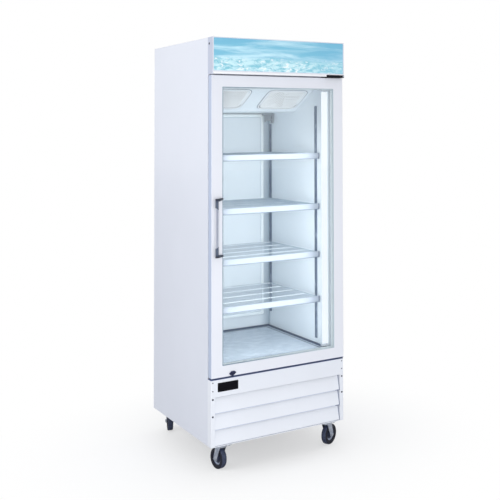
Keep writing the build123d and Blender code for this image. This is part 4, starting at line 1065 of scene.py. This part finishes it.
def make_lamp_fittings():
    """Moulded end caps on the upright lamp, and sockets on the sign's tube."""
    lamps = {high.z - low.z: (low, high) for low, high in reversed(lumps("led_lamps"))}
    shape = Shape()
    low, high = lamps[max(lamps)]
    size = high - low
    half_size = (size.x / 2 + 0.6 * MM, size.y / 2 + 0.8 * MM)
    cap = metres(((1.2, -1.6), (0, -0.6), (0, 11), (0.8, 12)))
    for end, way in ((low.z, 1), (high.z, -1)):
        place = Vector(((low.x + high.x) / 2 - 0.6 * MM, (low.y + high.y) / 2, end))
        shape.plate(place, (X, Y, Z * way), half_size, 3 * MM, cap)
    low, high = lamps[min(lamps)]
    radius = (high.z - low.z) / 2 / MM
    socket = metres(((radius + 0.4, 0), (radius + 1.6, 1.5), (radius + 1.6, 18), (radius, 20)))
    for end, way in ((low.x, -1), (high.x, 1)):
        place = Vector((end - way * 14 * MM, (low.y + high.y) / 2, (low.z + high.z) / 2))
        shape.lathe(place, X * way, socket)
    shape.piece("lamp_fittings", "white_plastic", "cabinet")


def make_pipes():
    """Copper refrigerant lines between the compressor, the condenser and the storage space."""
    shell_low, shell_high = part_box("compressor")
    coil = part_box("condenser_coil")[1]
    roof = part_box("foam_body")[0].z
    shell = Vector(((shell_low.x + shell_high.x) / 2, (shell_low.y + shell_high.y) / 2, shell_high.z))
    above = Vector((shell.x, shell.y, roof))
    # Each pipe is its radius and the points it passes, in millimetres from a known place
    pipes = (
        (3.2, (
            (shell, (-40, 0, -30)), (shell, (-50, 0, 30)), (shell, (-20, -90, 20)),
            (coil, (18, 20, -20)), (coil, (-6, -14, -26)),
        )),
        (4.8, (
            (shell, (40, 0, -30)), (shell, (60, 10, 26)), (shell, (80, 70, 40)),
            (above, (80, 90, -30)), (above, (80, 90, 4)),
        )),
    )
    shape = Shape()
    for radius, path in pipes:
        points = [start + Vector(way) * MM for start, way in path]
        shape.tube(curve_through(points), radius * MM)
    shape.piece("refrigerant_pipes", "copper_fins", "cabinet", material=copper().material)


def make_cord_bush():
    """The moulded bush that holds the power cord in the rear grille."""
    low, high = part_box("power_cord")
    cord = 4 * MM
    profile = metres(((10, 0), (10, 2.2), (8.5, 3.2), (6.4, 3.4), (5.6, 9), (4.4, 9.6)))
    shape = Shape()
    shape.lathe((low.x + cord, low.y - 0.4 * MM, high.z - cord), Y, profile)
    shape.piece("cord_bush", "black_plastic", "cabinet")


def perforated_field(place, axes, half_size, corner, pitch, hole, thickness):
    """A rounded plate of square cells turned by 45 degrees, each with an eight-sided hole."""
    half_width, half_height = half_size
    cell_corner, cell_side = pitch * math.sqrt(0.5), pitch * 0.5
    reach = int((half_width + half_height) / pitch)
    sheet = bmesh.new()
    for i in range(-reach, reach + 1):
        for j in range(-reach, reach + 1):
            u, v = (i - j) * cell_corner, (i + j) * cell_corner
            out_u, out_v = abs(u) - half_width + corner, abs(v) - half_height + corner
            if max(out_u, out_v, math.hypot(max(out_u, 0.0), max(out_v, 0.0))) > corner:
                continue
            rings = []
            for far_even, far_odd in ((cell_corner, cell_side), (hole, hole)):
                turns = [(math.pi / 4 * turn, far_odd if turn % 2 else far_even) for turn in range(8)]
                rings.append([
                    sheet.verts.new(spot(
                        place, axes, u + far * math.cos(angle), v + far * math.sin(angle), 0.0))
                    for angle, far in turns
                ])
            edge, rim = rings
            for here, there in zip(range(8), [*range(1, 8), 0]):
                sheet.faces.new((edge[here], edge[there], rim[there], rim[here]))
    bmesh.ops.remove_doubles(sheet, verts=sheet.verts, dist=0.01 * MM)
    bmesh.ops.recalc_face_normals(sheet, faces=sheet.faces)
    bmesh.ops.solidify(sheet, geom=sheet.faces[:], thickness=thickness)
    mesh = bpy.data.meshes.new("field")
    sheet.to_mesh(mesh)
    sheet.free()
    return mesh


def make_guards():
    """Fan guards: perforated plates set in rounded frames with a groove round them."""
    corner = 34 * MM
    border = 16 * MM
    # Each step is the distance in from the outer edge and the height
    rim = metres((
        (0, -1.4), (0, 0.8), (0.8, 1.4), (5.4, 1.4), (6, -1), (13, -1), (13.6, 1.4), (18, 1.4),
        (18.8, 0.8), (18.8, -1.4),
    ))
    seal = metres(((0.1, -1.4), (0.1, 0.2), (-3.6, -0.2), (-4.6, -1.4)))
    shape = Shape()
    seals = Shape()
    for low, high in lumps("fan_guards"):
        middle = (low + high) / 2
        slope = Vector((0, high.y - low.y, low.z - high.z))
        down = slope.normalized()
        out = X.cross(down)
        if out.z > 0:
            out = -out
        axes = (X, down, out)
        half_size = ((high.x - low.x) / 2, slope.length / 2)
        shape.plate(middle, axes, half_size, corner, rim, is_rim=True)
        seals.plate(middle, axes, half_size, corner, seal, is_rim=True)
        field_size = [half - border for half in half_size]
        field = perforated_field(
            middle, axes, field_size, corner - border, pitch=10 * MM, hole=3.2 * MM, thickness=1 * MM)
        shape.mesh.from_mesh(field)
        bpy.data.meshes.remove(field)
    shape.piece("perforated_guards", "white_plastic", "cabinet", "fan_guards")
    seals.piece("guard_seals", "gasket_rubber", "cabinet", material=materials["dark_steel"])


def make_sensor():
    """The probe's bracket: a plate hung from a flange, a clamp, and a probe with its lead."""
    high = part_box("sensor_clip")[1]
    hanger = Vector((high.x - 34 * MM, high.y, high.z - 0.6 * MM))
    # Each block is its centre and half width, its top and foot, its depth and its corner radius
    blocks = ((0, 32, 0, 13, 18, 2), (6, 15, 13.2, 42, 12, 3), (27, 4, 13.4, 56, 16, 1.5))
    shape = Shape()
    for centre, half_width, top, foot, depth, radius in blocks:
        place = hanger + Vector((centre, -depth / 2, 0)) * MM
        half_size = (half_width * MM, depth / 2 * MM)
        steps = metres(((0.6, top), (0, top + 0.6), (0, foot - 0.6), (0.6, foot)))
        shape.plate(place, (X, Y, -Z), half_size, radius * MM, steps)
    probe = metres(((3.4, 0), (4.2, 1), (4.2, 34), (3, 37)))
    shape.lathe(hanger + Vector((-14, -8, -13.2)) * MM, -Z, probe)
    shape.piece("sensor_bracket", "white_plastic", "cabinet", "sensor_clip")


def make_duct():
    """The air duct's pressed cover: a shallow tray turned to the wall, with a raised field."""
    low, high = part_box("duct_panel")
    size = high - low
    # Each step is the distance in from the outer edge and the height from the front of the tray
    steps = metres((
        (0, -size.y / MM), (0, -3), (1, -1), (3, 0), (13, 0), (15, -2), (19, -2), (21, 0),
    ))
    place = Vector((0, low.y, (low.z + high.z) / 2))
    shape = Shape()
    shape.plate(place, FRONT, (size.x / 2, size.z / 2), 5 * MM, steps)
    shape.piece("pressed_duct", "liner_coat", "cabinet", "duct_panel")


# ==== stage
def floor_finish():
    """Pale floor that fades into the white sky away from the object."""
    floor = Finish("studio_floor", 0.8)
    floor.set(base=floor.mix(floor.noise(1.5, 4.0), (0.89, 0.9, 0.905), (0.91, 0.915, 0.925)))
    fade = floor.span(floor.vectors("LENGTH", floor.place, output="Value"), 0.25, 1.3, 0.5, 1.0)
    glow = floor.node("Emission", {0: BACKDROP, 1: 1.0}).outputs[0]
    shown = floor.node("MixShader", {0: fade, 1: floor.shader.outputs[0], 2: glow}).outputs[0]
    bounce = floor.node("BsdfDiffuse", {0: (0.48, 0.49, 0.52)}).outputs[0]
    to_camera = floor.node("LightPath").outputs["Is Camera Ray"]
    whole = floor.node("MixShader", {0: to_camera, 1: bounce, 2: shown}).outputs[0]
    floor.link(whole, floor.output.inputs[0])
    return floor.material


def make_sky():
    """A white sky for the camera, and a cooler, dimmer one for the light."""
    world = bpy.data.worlds.new("studio")
    world.use_nodes = True
    tree = world.node_tree
    sky = tree.nodes["Background"]
    sky.inputs[0].default_value = SKY_COLOUR
    sky.inputs[1].default_value = SKY_LIGHT
    seen = tree.nodes.new("ShaderNodeBackground")
    seen.inputs[0].default_value = (*BACKDROP, 1.0)
    paths = tree.nodes.new("ShaderNodeLightPath")
    choice = tree.nodes.new("ShaderNodeMixShader")
    tree.links.new(paths.outputs["Is Camera Ray"], choice.inputs[0])
    tree.links.new(sky.outputs[0], choice.inputs[1])
    tree.links.new(seen.outputs[0], choice.inputs[2])
    tree.links.new(choice.outputs[0], tree.nodes["World Output"].inputs[0])
    bpy.context.scene.world = world


def make_stage():
    """A plain pale floor under the sky."""
    reach = 30.0
    corners = [(-reach, -reach, 0), (reach, -reach, 0), (reach, reach, 0), (-reach, reach, 0)]
    mesh = bpy.data.meshes.new("studio_floor")
    mesh.from_pydata(corners, [], [(0, 1, 2, 3)])
    mesh.materials.append(floor_finish())
    new_object("studio_floor", mesh)
    make_sky()


def soft_box(name, place, target, width, height, power):
    """An unseen area light aimed at a point, with its power in watts."""
    light = bpy.data.lights.new(name, "AREA")
    light.shape = "RECTANGLE"
    light.size = width
    light.size_y = height
    light.energy = power
    lamp = new_object(name, light)
    lamp.location = place
    lamp.rotation_euler = (target - Vector(place)).to_track_quat("-Z", "Y").to_euler()
    lamp.visible_camera = False
    lamp.visible_glossy = False


def make_lights():
    """Soft boxes in front, on both sides and behind, and a fill just inside the door opening."""
    middle = (cad_low + cad_high) / 2
    soft_box("front_box", (-1.2, -3.4, 1.1), middle - Z * 0.3, 2.0, 1.6, 53.0)
    soft_box("side_box", (-2.8, 0.1, 2.2), middle + Z * 0.2, 1.6, 1.2, 31.0)
    soft_box("right_box", (3.2, 0.5, 1.6), middle, 1.6, 1.6, 22.0)
    soft_box("rear_box", (0.6, 3.4, 1.8), middle, 1.6, 1.6, 18.0)
    low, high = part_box("liner")
    foot, top = low.z + 0.05, low.z + 1.1
    place = Vector((0.0, low.y + 0.04, (foot + top) / 2))
    soft_box("inner_fill", place, place + Y, (high.x - low.x) * 0.8, top - foot, 3.9)


def make_camera():
    """The camera keeps its lens shift only in its own place, so a view from elsewhere is centred."""
    data = bpy.data.cameras.new("camera")
    data.lens = CAMERA_LENS
    data.sensor_width = 36.0
    camera = new_object("camera", data)
    camera.matrix_world = (
        Matrix.Translation(CAMERA_PLACE)
        @ Matrix.Rotation(-CAMERA_AZIMUTH, 4, "Z")
        @ Matrix.Rotation(math.pi / 2 + CAMERA_PITCH, 4, "X")
        @ Matrix.Rotation(CAMERA_ROLL, 4, "Z")
    )
    bpy.context.scene.camera = camera
    for channel, shift in zip(("shift_x", "shift_y"), CAMERA_SHIFT):
        driver = data.driver_add(channel).driver
        driver.type = "SCRIPTED"
        reading = driver.variables.new()
        reading.name = "place"
        reading.type = "TRANSFORMS"
        reading.targets[0].id = camera
        reading.targets[0].transform_type = "LOC_X"
        driver.expression = f"{shift} if abs(place - {CAMERA_PLACE.x}) < 0.001 else 0"


def set_scene():
    scene = bpy.context.scene
    scene.view_settings.view_transform = "Standard"
    scene.cycles.use_denoising = True
    scene.cycles.max_bounces = 8
    scene.cycles.transparent_max_bounces = 16


for build in (
    paint_frame, soften_edges, make_cover_screws, make_back_screws, make_gasket, make_glazing_bead,
    make_tyres, make_badge, make_lamp_fittings, make_pipes, make_cord_bush, make_guards, make_sensor,
    make_duct, make_stage, make_lights, make_camera, set_scene,
):
    build()
